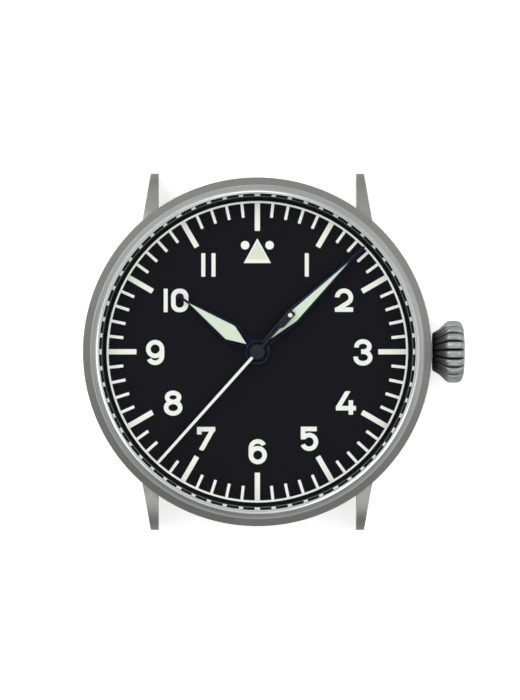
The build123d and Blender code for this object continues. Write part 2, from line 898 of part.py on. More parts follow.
def digit_two():
    half = numeral_height / 2
    bowl = numeral_width * two_bowl_share
    top = (0, half - bowl)
    knee = polar(bowl - numeral_stroke / 2, two_end_angle)
    foot = (-numeral_width / 2 + numeral_stroke * two_foot_share, -half + numeral_stroke / 2)
    body = bow(top, bowl, two_end_angle, two_start_angle - two_end_angle)
    body += stroke((knee[0], knee[1] + top[1]), foot)
    base = -half + numeral_stroke / 2
    body += stroke((-numeral_width / 2, base), (numeral_width / 2, base))
    return body


def digit_three():
    height = numeral_height * three_height_share
    upper = height * three_upper_share
    lower = height + numeral_stroke - upper
    widths = [numeral_width * share for share in three_widths_shares]
    body = Pos(0, (height - upper) / 2) * oval_ring(widths[0], upper)
    body += Pos(0, (lower - height) / 2) * oval_ring(widths[1], lower)
    arm = -numeral_width * three_arm_share
    drop = numeral_stroke * three_drop_share
    ends = (height - upper) / 2 - drop, (lower - height) / 2 + drop
    corners = [(arm, ends[0]), (-numeral_width, ends[0]), (-numeral_width, ends[1]), (arm, ends[1])]
    return body - make_face(Polyline(*corners, close=True))


def digit_four():
    half = numeral_height / 2
    width = numeral_width * four_width_share
    level_line = -half + numeral_height * four_bar_share
    body = stroke((-width / 2, level_line), (width / 2, level_line))
    body += stroke((width * four_top_share, half + numeral_stroke), (-width * four_start_share, level_line))
    stem = numeral_width * four_stem_share
    body += stroke((stem, -half), (stem, level_line + numeral_height * four_rise_share))
    return body & Rectangle(2 * width, numeral_height)


def digit_five():
    half = numeral_height / 2
    bowl = numeral_width * five_bowl_share
    low = bowl - half - numeral_overshoot
    stem = -numeral_width * five_stem_share
    roof = half - numeral_stroke / 2
    body = stroke((stem - numeral_stroke / 2, roof), (numeral_width * five_roof_share, roof))
    body += stroke((stem, half), (stem, low + numeral_width * five_drop_share))
    return body + bow((0, low), bowl, five_start_angle, five_end_angle - five_start_angle)


def digit_six():
    half = numeral_height / 2 + numeral_overshoot
    bowl = numeral_width / 2
    low = bowl - half
    neck = half - bowl
    side = -bowl + numeral_stroke / 2
    body = bow((0, neck), bowl, six_end_angle, 180 - six_end_angle) + stroke((side, low), (side, neck))
    return body + Pos(0, low) * (Circle(bowl) - Circle(bowl - numeral_stroke))


def digit_seven():
    half = numeral_height / 2
    bar_line = half - numeral_stroke / 2
    left = -numeral_width / 2
    body = stroke((left, bar_line), (numeral_width / 2, bar_line))
    serif = left + numeral_stroke / 2
    body += stroke((serif, half), (serif, half - numeral_height * seven_serif_share))
    foot = (left + numeral_width * seven_foot_share, -half)
    body += stroke((numeral_width / 2 - numeral_stroke / 2, bar_line), foot)
    return body & Rectangle(2 * numeral_width, numeral_height)


def digit_eight():
    height = numeral_height + 2 * numeral_overshoot
    upper = height * eight_upper_share
    lower = height + numeral_stroke - upper
    widths = [numeral_width * share for share in eight_widths_shares]
    body = Pos(0, (height - upper) / 2) * oval_ring(widths[0], upper)
    return body + Pos(0, (lower - height) / 2) * oval_ring(widths[1], lower)


def digit_nine():
    return Rot(0, 0, 180) * digit_six()


def numerals():
    shapes = {2: digit_two, 3: digit_three, 4: digit_four, 5: digit_five}
    shapes.update({6: digit_six, 7: digit_seven, 8: digit_eight, 9: digit_nine})
    faces = []
    for index, share in enumerate(numeral_place_shares):
        hour = index + 1
        x, y = numeral_radius * share[0], numeral_radius * share[1]
        if hour in shapes:
            faces.append(Pos(x, y) * shapes[hour]())
        elif hour == 1:
            faces.append(Pos(x, y) * digit_one())
        elif hour == 10:
            faces.append(Pos(x + numeral_width * numeral_ten_shares[0], y) * digit_one())
            faces.append(Pos(x + numeral_width * numeral_ten_shares[1], y) * digit_zero())
        else:
            faces.append(Pos(x - pair_spacing / 2, y) * digit_one())
            faces.append(Pos(x + pair_spacing / 2, y) * digit_one())
    return faces


def dial_numerals():
    pieces = []
    for face in numerals():
        solid = Pos(0, 0, dial_front) * extrude(face, print_height)
        pieces.extend(solid.solids())
    return pieces


def hand_outline(start, wide_place, half_width, end):
    return [(start, 0), (wide_place, half_width), (end, 0), (wide_place, -half_width)]


def hand_plate(start, wide_place, half_width, tip, hub, bore, bottom, lume_end):
    frame = hand_frame_width
    outer = [(0, frame), (wide_place, half_width + frame), (lume_end, frame / 2), (tip, hand_tip_width / 2)]
    outer += [(x, -y) for x, y in reversed(outer)]
    body = outline(outer, bottom, bottom + hand_thickness) + disc(hub, bottom, bottom + hand_thickness)
    body -= disc(bore, bottom - cut_overrun, bottom + hand_thickness + cut_overrun)
    window = hand_outline(start, wide_place, half_width, lume_end)
    return body - outline(window, bottom - cut_overrun, bottom + hand_thickness + cut_overrun)


def turned_to(angle, body):
    return Rot(0, 0, 90 - angle) * body


def hour_hand():
    sizes = (hour_lume_start, hour_lume_wide_place, hour_lume_half_width, hour_hand_length, hour_hub_radius)
    return turned_to(hour_hand_angle, hand_plate(*sizes, hour_tube_radius, hour_hand_level, hour_lume_end))


def hour_hand_lume():
    points = hand_outline(hour_lume_start, hour_lume_wide_place, hour_lume_half_width, hour_lume_end)
    return turned_to(hour_hand_angle, outline(points, hour_hand_level, hour_hand_level + hand_thickness))


def minute_hand():
    sizes = (minute_lume_start, minute_lume_wide_place, minute_lume_half_width)
    sizes += (minute_hand_length, minute_hub_radius)
    return turned_to(minute_hand_angle, hand_plate(*sizes, cannon_radius, minute_hand_level, minute_lume_end))


def minute_hand_lume():
    points = hand_outline(minute_lume_start, minute_lume_wide_place, minute_lume_half_width, minute_lume_end)
    body = outline(points, minute_hand_level, minute_hand_level + hand_thickness)
    return turned_to(minute_hand_angle, body)


def second_hand():
    bottom = second_hand_level
    top = bottom + second_hand_thickness
    tail = [(0, second_tail_narrow / 2), (-second_tail_wide_place, second_tail_narrow / 2)]
    tail.append((-second_tail_wide_place - second_tail_wide / 2, second_tail_wide / 2))
    tail.append((-second_tail_length, second_tail_wide / 2))
    tail += [(x, -y) for x, y in reversed(tail)]
    body = outline(tail, bottom, top) + disc(second_boss_radius, bottom, top + second_boss_rise)
    body -= disc(second_arbor_radius, bottom - cut_overrun, top)
    return turned_to(second_hand_angle, body)


def second_hand_paint():
    bottom = second_hand_level
    top = bottom + second_hand_thickness
    half = second_blade_width / 2
    blade = block((second_boss_radius, -half), (second_hand_length, half), bottom, top)
    blade -= disc(second_boss_radius, bottom - cut_overrun, top + cut_overrun)
    spot = disc(second_dot_radius, top, top + print_height, (-second_dot_place, 0))
    return [turned_to(second_hand_angle, blade), turned_to(second_hand_angle, spot)]


def cannon_pinion():
    top = minute_wheel_level + motion_wheel_thickness + motion_step
    gear_bottom = motion_floor + motion_step / 2
    body = disc(cannon_radius, gear_bottom, minute_hand_level + hand_thickness)
    body += gear(cannon_teeth, motion_module, pinion_tooth_shares, centre_phase, gear_bottom, top, centre)
    return body - disc(centre_tube_radius, 0, crystal_back)


def minute_wheel():
    wheel_top = minute_wheel_level + motion_wheel_thickness
    sizes = (minute_wheel_phase, minute_wheel_level, wheel_top, minute_wheel_centre)
    body = gear(minute_wheel_teeth, motion_module, wheel_tooth_shares, *sizes)
    sizes = (minute_wheel_phase, wheel_top, wheel_top + minute_pinion_height, minute_wheel_centre)
    body += gear(minute_pinion_teeth, hour_module, pinion_tooth_shares, *sizes)
    return body - disc(minute_post_radius + running_gap, 0, plate_front, minute_wheel_centre)


def hour_wheel():
    top = hour_wheel_level + motion_wheel_thickness
    body = gear(hour_wheel_teeth, hour_module, wheel_tooth_shares, hour_phase, hour_wheel_level, top, centre)
    body += disc(hour_tube_radius, hour_wheel_level, hour_hand_level + hand_thickness)
    return body - disc(hour_tube_bore, 0, crystal_back)


def setting_wheel():
    top = minute_wheel_level + motion_wheel_thickness
    sizes = (setting_phase, minute_wheel_level, top, setting_wheel_centre)
    body = gear(setting_wheel_teeth, motion_module, wheel_tooth_shares, *sizes)
    return body - disc(minute_post_radius + running_gap, 0, plate_front, setting_wheel_centre)


def crown_profile():
    neck = crown_start + crown_neck_length
    cone = neck + crown_cone_length
    band = cone + crown_band_length
    rounded = band + crown_round_length
    end = rounded + crown_dome_length
    points = [(crown_start, 0), (crown_start, crown_base_radius)]
    points += [(neck, crown_neck_radius), (cone, crown_radius)]
    points += [(band, crown_radius), (rounded, crown_end_radius), (end, crown_end_radius / 2), (end, 0)]
    return points


def around_stem(points):
    profile = Plane.XZ * make_face(Polyline(*points, close=True))
    return Pos(0, 0, stem_level) * revolve(profile, Axis.X)


def crown():
    body = around_stem(crown_profile())
    bore_end = crown_start + crown_bore_depth
    body -= rod(crown_tube_radius + crown_gasket_width, crown_start - cut_overrun, bore_end, stem_level)
    body -= rod(stem_thread_radius, bore_end, bore_end + stem_thread_length, stem_level)
    low = crown_start + crown_neck_length / 2
    cone_end = crown_start + crown_neck_length + crown_cone_length
    far = cone_end + crown_band_length + crown_round_length + crown_dome_length
    rim = crown_radius + crown_flute_radius - crown_flute_depth
    cone_reach = (crown_cone_length + crown_neck_length, crown_radius - crown_base_radius)
    tilt = math.degrees(math.atan2(cone_reach[1], cone_reach[0]))
    groove = Pos(cone_end, 0, rim) * Rot(0, 90, 0) * extrude(Circle(crown_flute_radius), far - cone_end)
    run = (cone_end - low) / math.cos(math.radians(tilt))
    slant = Pos(cone_end, 0, rim) * Rot(0, 270 - tilt, 0) * extrude(Circle(crown_flute_radius), run)
    joint = Pos(cone_end, 0, rim) * Sphere(crown_flute_radius)
    cutter = groove + slant + joint
    for index in range(crown_flute_count):
        turn = crown_flute_phase + 360 * index / crown_flute_count
        body -= Pos(0, 0, stem_level) * Rot(turn, 0, 0) * cutter
    return body


def crown_gasket():
    start = crown_start + crown_gasket_inset
    outer = crown_tube_radius + crown_gasket_width
    return pipe(outer, crown_tube_radius + running_gap, start, start + crown_gasket_length, stem_level)


def crown_tube():
    end = crown_start + crown_bore_depth - crown_gap
    return pipe(crown_tube_radius, crown_tube_bore, case_bore + crown_tube_inset, end, stem_level)


def winding_stem():
    bore_end = crown_start + crown_bore_depth
    pilot_start = sliding_start - stem_pilot_length
    square_start = sliding_start - sliding_travel
    body = rod(stem_pilot_radius, pilot_start, square_start, stem_level)
    square = extrude(Rectangle(stem_square_width, stem_square_width), hub_start - square_start)
    square = Pos(square_start, 0, stem_level) * Rot(0, 90, 0) * square
    body += square
    body += rod(stem_neck_radius, hub_start, winding_end + running_gap, stem_level)
    body += rod(stem_radius, winding_end + running_gap, bore_end, stem_level)
    body += rod(stem_thread_radius, bore_end, bore_end + stem_thread_length, stem_level)
    groove = stem_groove_start()
    end = groove + stem_groove_width
    body -= pipe(stem_radius + cut_overrun, stem_groove_radius, groove, end, stem_level)
    return body


def stem_groove_start():
    return winding_end + stem_groove_width / 3


def clutch_sector(start, end, phase):
    teeth = []
    for index in range(clutch_teeth):
        angle = phase + 360 * index / clutch_teeth
        half = clutch_tooth_share * 180 / clutch_teeth
        inner = stem_radius + seat_gap
        outer = sliding_radius - seat_gap
        points = [polar(inner, angle - half), polar(outer, angle - half)]
        points += [polar(outer, angle + half), polar(inner, angle + half)]
        tooth = extrude(make_face(Polyline(*points, close=True)), end - start)
        teeth.append(Pos(start, 0, stem_level) * Rot(0, 90, 0) * tooth)
    return teeth


def winding_pinion():
    module = winding_tip_radius / (winding_pinion_teeth / 2 + pinion_tooth_shares[0])
    # A tooth of the pinion stands in the gap of the crown wheel that faces the stem
    face = gear_face(winding_pinion_teeth, module, winding_tooth_shares, 0)
    body = Pos(winding_start, 0, stem_level) * Rot(0, 90, 0) * extrude(face, winding_gear_length)
    body += rod(winding_hub_radius, hub_start, winding_start, stem_level)
    for tooth in clutch_sector(clutch_start, hub_start, 0):
        body += tooth
    ends = clutch_start - cut_overrun, winding_end + cut_overrun
    return body - rod(stem_neck_radius + running_gap, ends[0], ends[1], stem_level)


def sliding_pinion():
    groove = sliding_start + sliding_groove_inset
    body = rod(sliding_radius, sliding_start, clutch_start - seat_gap, stem_level)
    for tooth in clutch_sector(clutch_start - seat_gap, hub_start - seat_gap, 180 / clutch_teeth):
        body += tooth
    end = groove + sliding_groove_width
    body -= pipe(sliding_radius + cut_overrun, sliding_groove_radius, groove, end, stem_level)
    width = stem_square_width + 2 * running_gap
    hole = extrude(Rectangle(width, width), 2 * sliding_length)
    hole = Pos(sliding_start - cut_overrun, 0, stem_level) * Rot(0, 90, 0) * hole
    return body - hole


def lever_level():
    return keyless_floor + seat_gap


def setting_lever():
    pin_place = (stem_groove_start() + stem_groove_width / 2, 0)
    pivot = (pin_place[0], lever_arm)
    bottom = lever_level()
    body = capsule(pin_place, pivot, lever_width, bottom, bottom + lever_thickness)
    pin_bottom = stem_level + stem_groove_radius + seat_gap
    body += disc(lever_pin_radius, pin_bottom, bottom, pin_place)
    return body - disc(minute_post_radius + running_gap, 0, plate_front, pivot)


def yoke_place():
    return sliding_start + sliding_groove_inset + sliding_groove_width / 2, 0


def yoke():
    tip = yoke_place()
    pivot = (tip[0], -yoke_arm)
    bottom = lever_level()
    body = capsule(tip, pivot, yoke_width, bottom, bottom + lever_thickness)
    finger_bottom = stem_level + sliding_groove_radius + seat_gap
    half = yoke_finger_width / 2
    body += block((tip[0] - half, -half), (tip[0] + half, half), finger_bottom, bottom)
    return body - disc(minute_post_radius + running_gap, 0, plate_front, pivot)


def crown_wheel():
    module = winding_module
    phase = 180 / crown_wheel_teeth
    levels = winding_back, winding_front
    body = gear(crown_wheel_teeth, module, wheel_tooth_shares, phase, *levels, crown_wheel_centre)
    return body - disc(barrel_arbor_radius, 0, plate_front, crown_wheel_centre)


def crown_wheel_screw():
    length = stem_level - sliding_radius - 2 * seat_gap - winding_back
    sizes = (length, ratchet_screw_radius, ratchet_screw_height, screw_shank_radius)
    return screw(crown_wheel_centre, winding_back, *sizes, winding_angle)


def ratchet_wheel():
    phase = ratchet_phase
    levels = winding_back, winding_front
    body = gear(ratchet_teeth, winding_module, wheel_tooth_shares, phase, *levels, barrel_centre)
    half = barrel_square_width / 2
    hole = block((-half, -half), (half, half), 0, plate_front)
    return body - Pos(barrel_centre[0], barrel_centre[1], 0) * hole


def ratchet_screw():
    sizes = (barrel_square_width, ratchet_screw_radius, ratchet_screw_height, screw_shank_radius)
    return screw(barrel_centre, winding_back, *sizes, barrel_angle)


def barrel_arbor():
    half = barrel_square_width / 2
    drum_end = barrel_drum_top()
    body = block((-half, -half), (half, half), winding_back, winding_front)
    body = Pos(barrel_centre[0], barrel_centre[1], 0) * body
    body += disc(barrel_arbor_radius, winding_front, plate_back + plate_thickness / 3, barrel_centre)
    inset = barrel_floor + seat_gap
    body += disc(barrel_core_radius, barrel_drum_level + inset, drum_end - inset, barrel_centre)
    return body - disc(screw_shank_radius, 0, winding_back + barrel_square_width, barrel_centre)


def barrel_drum_top():
    return plate_back - seat_gap


def barrel_drum_radius():
    return barrel_module * barrel_teeth / 2 * barrel_drum_share


def barrel():
    top = barrel_drum_top()
    teeth_top = barrel_teeth_level + barrel_wall
    drum = barrel_drum_radius()
    body = disc(drum, barrel_drum_level, top, barrel_centre)
    levels = barrel_teeth_level, teeth_top
    body += gear(barrel_teeth, barrel_module, wheel_tooth_shares, barrel_phase, *levels, barrel_centre)
    body -= disc(drum - barrel_wall, barrel_drum_level + barrel_floor, top - barrel_floor, barrel_centre)
    return body - disc(barrel_arbor_radius + running_gap, 0, plate_front, barrel_centre)


def spiral(inner, outer, turns, width, bottom, top, place):
    count = math.ceil(turns * spiral_steps)
    lines = []
    for index in range(count + 1):
        share = index / count
        lines.append((inner + (outer - inner) * share, 360 * turns * share))
    points = [polar(radius + width / 2, angle) for radius, angle in lines]
    points += [polar(radius - width / 2, angle) for radius, angle in reversed(lines)]
    return Pos(place[0], place[1], 0) * outline(points, bottom, top)


def mainspring():
    bottom = barrel_drum_level + barrel_floor + seat_gap
    top = barrel_drum_top() - barrel_floor - seat_gap
    inner = barrel_core_radius + free_gap + mainspring_band_width
    outer = barrel_drum_radius() - barrel_wall - mainspring_band_width / 2 - running_gap
    return spiral(inner, outer, mainspring_turns, mainspring_band_width, bottom, top, barrel_centre)


def click_pivot():
    reach = ratchet_radius + winding_module + click_length
    x, y = polar(reach, click_angle)
    return barrel_centre[0] + x, barrel_centre[1] + y


def click_tip():
    pivot = click_pivot()
    x, y = polar(ratchet_radius + winding_module + click_tip_width / 2 + seat_gap, click_angle - click_lean)
    return barrel_centre[0] + x, barrel_centre[1] + y


def click():
    pivot = click_pivot()
    top = bridge_back + click_thickness + seat_gap
    bottom = bridge_back + seat_gap
    body = disc(click_width / 2, bottom, top, pivot)
    body += capsule(pivot, click_tip(), click_tip_width, bottom, top)
    return body - disc(small_shank_radius + running_gap, 0, plate_front, pivot)


def third_wheel():
    wheel_top = third_wheel_level + train_wheel_thickness
    pitch = third_module * third_teeth / 2
    sizes = (third_pinion_phase, third_wheel_level, wheel_top, third_centre, pitch * wheel_hub_share)
    body = spoked(third_teeth, third_module, *sizes)
    pinion_top = centre_wheel_level + 2 * train_wheel_thickness
    sizes = (third_pinion_phase, wheel_top, pinion_top, third_centre)
    body += gear(third_pinion_teeth, centre_module, pinion_tooth_shares, *sizes)
    return body + arbor(third_centre, bridge_front + seat_gap, plate_back - seat_gap)


def centre_wheel():
    wheel_top = centre_wheel_level + train_wheel_thickness
    pitch = centre_module * centre_teeth / 2
    sizes = (centre_phase, centre_wheel_level, wheel_top, centre, pitch * wheel_hub_share)
    body = spoked(centre_teeth, centre_module, *sizes)
    top = plate_back - seat_gap
    levels = centre_pinion_level, top
    body += gear(centre_pinion_teeth, barrel_module, pinion_tooth_shares, centre_phase, *levels, centre)
    body += disc(centre_tube_radius, centre_wheel_level, minute_hand_level)
    return body - disc(centre_tube_bore, 0, crystal_back)


def fourth_wheel():
    wheel_top = fourth_wheel_level + train_wheel_thickness
    pitch = fourth_module * fourth_teeth / 2
    sizes = (fourth_pinion_phase, fourth_wheel_level, wheel_top, centre, pitch * wheel_hub_share)
    body = spoked(fourth_teeth, fourth_module, *sizes)
    pinion_top = centre_wheel_level - running_gap
    levels = wheel_top, pinion_top
    body += gear(fourth_pinion_teeth, third_module, pinion_tooth_shares, fourth_pinion_phase, *levels, centre)
    body += disc(second_arbor_radius, bridge_front + seat_gap, second_hand_level + second_hand_thickness)
    return body + disc(pivot_radius, bridge_front + seat_gap - pivot_length, bridge_front + seat_gap)


def escape_wheel():
    tip = escape_radius()
    root = tip * escape_root_share
    step = 360 / escape_teeth
    points = []
    for index in range(escape_teeth):
        angle = index * step
        points.append(polar(tip, angle))
        points.append(polar(tip, angle + step * escape_club_share))
        points.append(polar(root, angle + step * escape_gullet_share))
        points.append(polar(root, angle + step * (1 - escape_gullet_share)))
    wheel_top = escape_wheel_level + train_wheel_thickness
    face = make_face(Polyline(*points, close=True))
    window = Circle(root * wheel_rim_share) - Circle(tip * wheel_hub_share)
    for index in range(wheel_arm_count):
        window -= bar(centre, polar(tip, 360 * index / wheel_arm_count), tip * wheel_arm_share)
    body = extrude(face - window, wheel_top - escape_wheel_level)
    body = Pos(escape_centre[0], escape_centre[1], escape_wheel_level) * body
    low = bridge_front + seat_gap
    pinion_top = third_wheel_level - running_gap
    sizes = (escape_pinion_phase, low, pinion_top, escape_centre)
    body += gear(escape_pinion_teeth, fourth_module, pinion_tooth_shares, *sizes)
    return body + arbor(escape_centre, low, plate_back - seat_gap)


def escape_radius():
    return spacing(escape_centre, pallet_centre) * escape_radius_share


def pallet_stone_places():
    back = heading(escape_centre, pallet_centre)
    reach = escape_radius() + escape_tip_gap
    places = []
    for sign in (-1, 1):
        angle = back + sign * pallet_reach_angle
        inner = polar(reach, angle)
        outer = polar(reach + pallet_stone_length, angle)
        start = (escape_centre[0] + inner[0], escape_centre[1] + inner[1])
        places.append((start, (escape_centre[0] + outer[0], escape_centre[1] + outer[1])))
    return places


def pallet_stones():
    bottom = escape_wheel_level
    pieces = []
    for start, end in pallet_stone_places():
        pieces.append(Pos(0, 0, bottom) * extrude(bar(start, end, pallet_stone_width), train_wheel_thickness))
    return pieces


def pallet_fork():
    bottom = escape_wheel_level
    top = bottom + train_wheel_thickness
    length = spacing(pallet_centre, balance_centre)
    reach = length - impulse_pin_place - impulse_pin_radius - fork_end_gap
    fork_end = between(pallet_centre, balance_centre, reach / length)
    body = Pos(0, 0, bottom) * extrude(bar(pallet_centre, fork_end, pallet_arm_width), top - bottom)
    body += disc(pallet_arm_width, bottom, top, pallet_centre)
    for start, end in pallet_stone_places():
        grip = between(start, end, pallet_grip_share)
        body += capsule(pallet_centre, grip, 2 * pallet_stone_width, bottom, top)
    clear = escape_radius() + escape_tip_gap + pallet_stone_length / 3
    body -= disc(clear, bottom - cut_overrun, top + cut_overrun, escape_centre)
    for stone in pallet_stones():
        body -= stone
    low = pallet_cock_level + pallet_cock_thickness + seat_gap
    return body + arbor(pallet_centre, low, plate_back - seat_gap, pallet_cock_thickness - seat_gap)


cock_front = bridge_back + cock_thickness
hairspring_level = cock_front + balance_level_gap
balance_level = hairspring_level + hairspring_height + balance_level_gap


def balance_wheel():
    top = balance_level + balance_thickness
    inner = balance_radius - balance_rim_width
    face = Circle(balance_radius) - Circle(inner)
    face += Circle(balance_hub_radius)
    for angle in (0, 90):
        start = polar(inner + balance_rim_width / 2, angle)
        face += bar((-start[0], -start[1]), start, balance_arm_width)
    body = Rot(0, 0, balance_place_share[1]) * extrude(face, top - balance_level)
    body = Pos(balance_centre[0], balance_centre[1], balance_level) * body
    body += disc(roller_radius, roller_level, roller_level + roller_thickness, balance_centre)
    body += disc(collet_radius, hairspring_level, balance_level, balance_centre)
    body += arbor(balance_centre, cock_front + seat_gap, plate_back - seat_gap, jewel_thickness)
    line = heading(balance_centre, pallet_centre)
    place = polar(impulse_pin_place, line)
    place = (balance_centre[0] + place[0], balance_centre[1] + place[1])
    pin_top = roller_level + roller_thickness + impulse_pin_length
    return body + disc(impulse_pin_radius, roller_level + roller_thickness, pin_top, place)


def hairspring():
    sizes = (hairspring_inner_radius, hairspring_outer_radius, hairspring_turns, hairspring_band_width)
    return spiral(*sizes, hairspring_level, hairspring_level + hairspring_height, balance_centre)


def hairspring_stud():
    width = hairspring_band_width + 2 * seat_gap
    x, y = polar(hairspring_outer_radius + hairspring_band_width / 2 + width, 360 * (hairspring_turns % 1))
    place = (balance_centre[0] + x, balance_centre[1] + y)
    return disc(width, cock_front, hairspring_level + hairspring_height, place)


def bridge_region(points):
    scaled = [(x * movement_radius, y * movement_radius) for x, y in points]
    return Circle(movement_radius) & make_face(Polyline(*scaled, close=True))


def foot_height(face, angles):
    inner = movement_radius - bridge_foot_width
    foot = sector(movement_radius, inner, angles[0], angles[1], bridge_front, plate_back)
    region = Pos(0, 0, bridge_front) * extrude(face, plate_back - bridge_front)
    return foot & region


def screw_seat():
    return bridge_back + screw_head_height


def screw_places(angles):
    return [polar(movement_radius - screw_head_radius - seat_gap, angle) for angle in angles]


def screw_cut(place):
    body = disc(screw_head_radius + running_gap, bridge_back - cut_overrun, screw_seat(), place)
    return body + disc(screw_shank_radius + running_gap, bridge_back, plate_back + cut_overrun, place)


def jewel_cut(place, low):
    sink = disc(jewel_radius + jewel_sink, bridge_back - cut_overrun, bridge_back + jewel_sink, place)
    seat = disc(jewel_radius, bridge_back, bridge_back + jewel_sink + jewel_thickness, place)
    return sink + seat + disc(arbor_radius + seat_gap, bridge_back, low + cut_overrun, place)


def clamp_cuts():
    cuts = []
    for angle in clamp_angles:
        place = clamp_place(angle)
        cuts.append(disc(small_shank_radius + running_gap, bridge_back - cut_overrun, plate_back, place))
    return cuts


def barrel_bridge():
    shift = bridge_split_gap / movement_radius
    split = [(x + shift, y + shift) for x, y in bridge_split_shares]
    face = bridge_region(split + list(barrel_bridge_upper_shares))
    body = Pos(0, 0, bridge_back) * extrude(face, bridge_thickness)
    body += foot_height(face, barrel_foot_angles)
    ratchet_tip = ratchet_radius + wheel_tooth_shares[0] * winding_module + ratchet_recess_gap
    crown_tip = winding_module * (crown_wheel_teeth / 2 + wheel_tooth_shares[0]) + ratchet_recess_gap
    recess_front = winding_front + seat_gap
    body -= disc(ratchet_tip, bridge_back - cut_overrun, recess_front, barrel_centre)
    body -= disc(crown_tip, bridge_back - cut_overrun, recess_front, crown_wheel_centre)
    body -= disc(barrel_arbor_radius + running_gap, bridge_back, plate_back, barrel_centre)
    body += disc(barrel_arbor_radius - running_gap, winding_back, recess_front, crown_wheel_centre)
    body -= disc(screw_shank_radius, bridge_back, bridge_front + cut_overrun, crown_wheel_centre)
    gear_reach = winding_tip_radius + seat_gap
    ends = winding_start - free_gap, winding_end + free_gap
    body -= block((ends[0], -gear_reach), (ends[1], gear_reach), winding_back, plate_back)
    hub_reach = winding_hub_radius + seat_gap
    hub_back = stem_level - hub_reach
    body -= block((hub_start - free_gap, -hub_reach), (winding_start, hub_reach), hub_back, plate_back)
    slide_reach = sliding_radius + seat_gap
    slide_start = sliding_start - sliding_travel - free_gap
    body -= block((slide_start, -slide_reach), (hub_start, slide_reach), stem_level - slide_reach, plate_back)
    body -= disc(small_shank_radius, bridge_back, bridge_front - free_gap, click_pivot())
    body -= rod(stem_radius + running_gap, winding_start, case_bore, stem_level)
    click_floor = bridge_back + click_thickness + 2 * seat_gap
    click_slot = click_width + 2 * free_gap
    body -= capsule(click_pivot(), click_tip(), click_slot, bridge_back - cut_overrun, click_floor)
    for place in screw_places(barrel_screw_angles):
        body -= screw_cut(place)
    for cut in clamp_cuts():
        body -= cut
    return body


def train_bridge():
    shift = bridge_split_gap / movement_radius
    split = [(x - shift, y - shift) for x, y in bridge_split_shares]
    face = bridge_region(split + list(train_bridge_lower_shares))
    face -= Pos(*balance_centre) * Circle(balance_radius + balance_clearance)
    body = Pos(0, 0, bridge_back) * extrude(face, bridge_thickness)
    for angles in train_foot_angles:
        body += foot_height(face, angles)
    for place in (centre, third_centre, escape_centre):
        body -= jewel_cut(place, bridge_front)
    for place in screw_places(train_screw_angles):
        body -= screw_cut(place)
    for cut in clamp_cuts():
        body -= cut
    return body


def cock_foot_place():
    return polar(movement_radius - cock_foot_inset - cock_foot_reach / 2, cock_angle)


def balance_cock():
    foot = cock_foot_place()
    rim = polar(2 * movement_radius, cock_angle)
    body = capsule(balance_centre, foot, cock_width, bridge_back, cock_front)
    foot_shape = capsule(foot, rim, cock_width, bridge_back, plate_back)
    foot_shape -= disc(balance_radius + balance_clearance / 2, 0, plate_back, balance_centre)
    body += foot_shape
    body &= disc(movement_radius - cock_foot_inset / 3, 0, plate_back)
    body -= disc(screw_head_radius + running_gap, bridge_back - cut_overrun, screw_seat(), cock_screw_place())
    body -= disc(screw_shank_radius + running_gap, bridge_back, plate_back, cock_screw_place())
    return body - jewel_cut(balance_centre, cock_front)


def cock_screw_place():
    return polar(movement_radius - cock_foot_inset - screw_head_radius - seat_gap, cock_angle)


def pallet_foot_place():
    x, y = polar(pallet_cock_reach, heading(pallet_centre, escape_centre) + pallet_foot_turn)
    return pallet_centre[0] + x, pallet_centre[1] + y


def pallet_cock():
    foot = pallet_foot_place()
    front = pallet_cock_level + pallet_cock_thickness
    body = capsule(pallet_centre, foot, pallet_cock_width, pallet_cock_level, front)
    body += disc(pallet_cock_width / 2, front, plate_back, foot)
    body -= disc(pallet_jewel_radius, 0, plate_back, pallet_centre)
    return body - disc(small_shank_radius + running_gap, 0, plate_back, foot)


def pallet_cock_screw():
    place = pallet_foot_place()
    length = plate_back - pallet_cock_level + small_screw_radius
    sizes = (length, small_screw_radius, small_screw_height, small_shank_radius)
    return screw(place, pallet_cock_level, *sizes, cock_angle)


def jewel(place, bottom, radius, thickness):
    return ring(radius, jewel_bore_radius, bottom, bottom + thickness, place)


def jewels():
    pieces = []
    for place in (centre, third_centre, escape_centre, balance_centre):
        pieces.append(jewel(place, bridge_back + jewel_sink, jewel_radius, jewel_thickness))
    for place in (third_centre, escape_centre, balance_centre, pallet_centre):
        pieces.append(jewel(place, plate_back, jewel_radius, front_pivot_length + seat_gap))
    pieces.append(jewel(pallet_centre, pallet_cock_level, pallet_jewel_radius, pallet_cock_thickness))
    return pieces


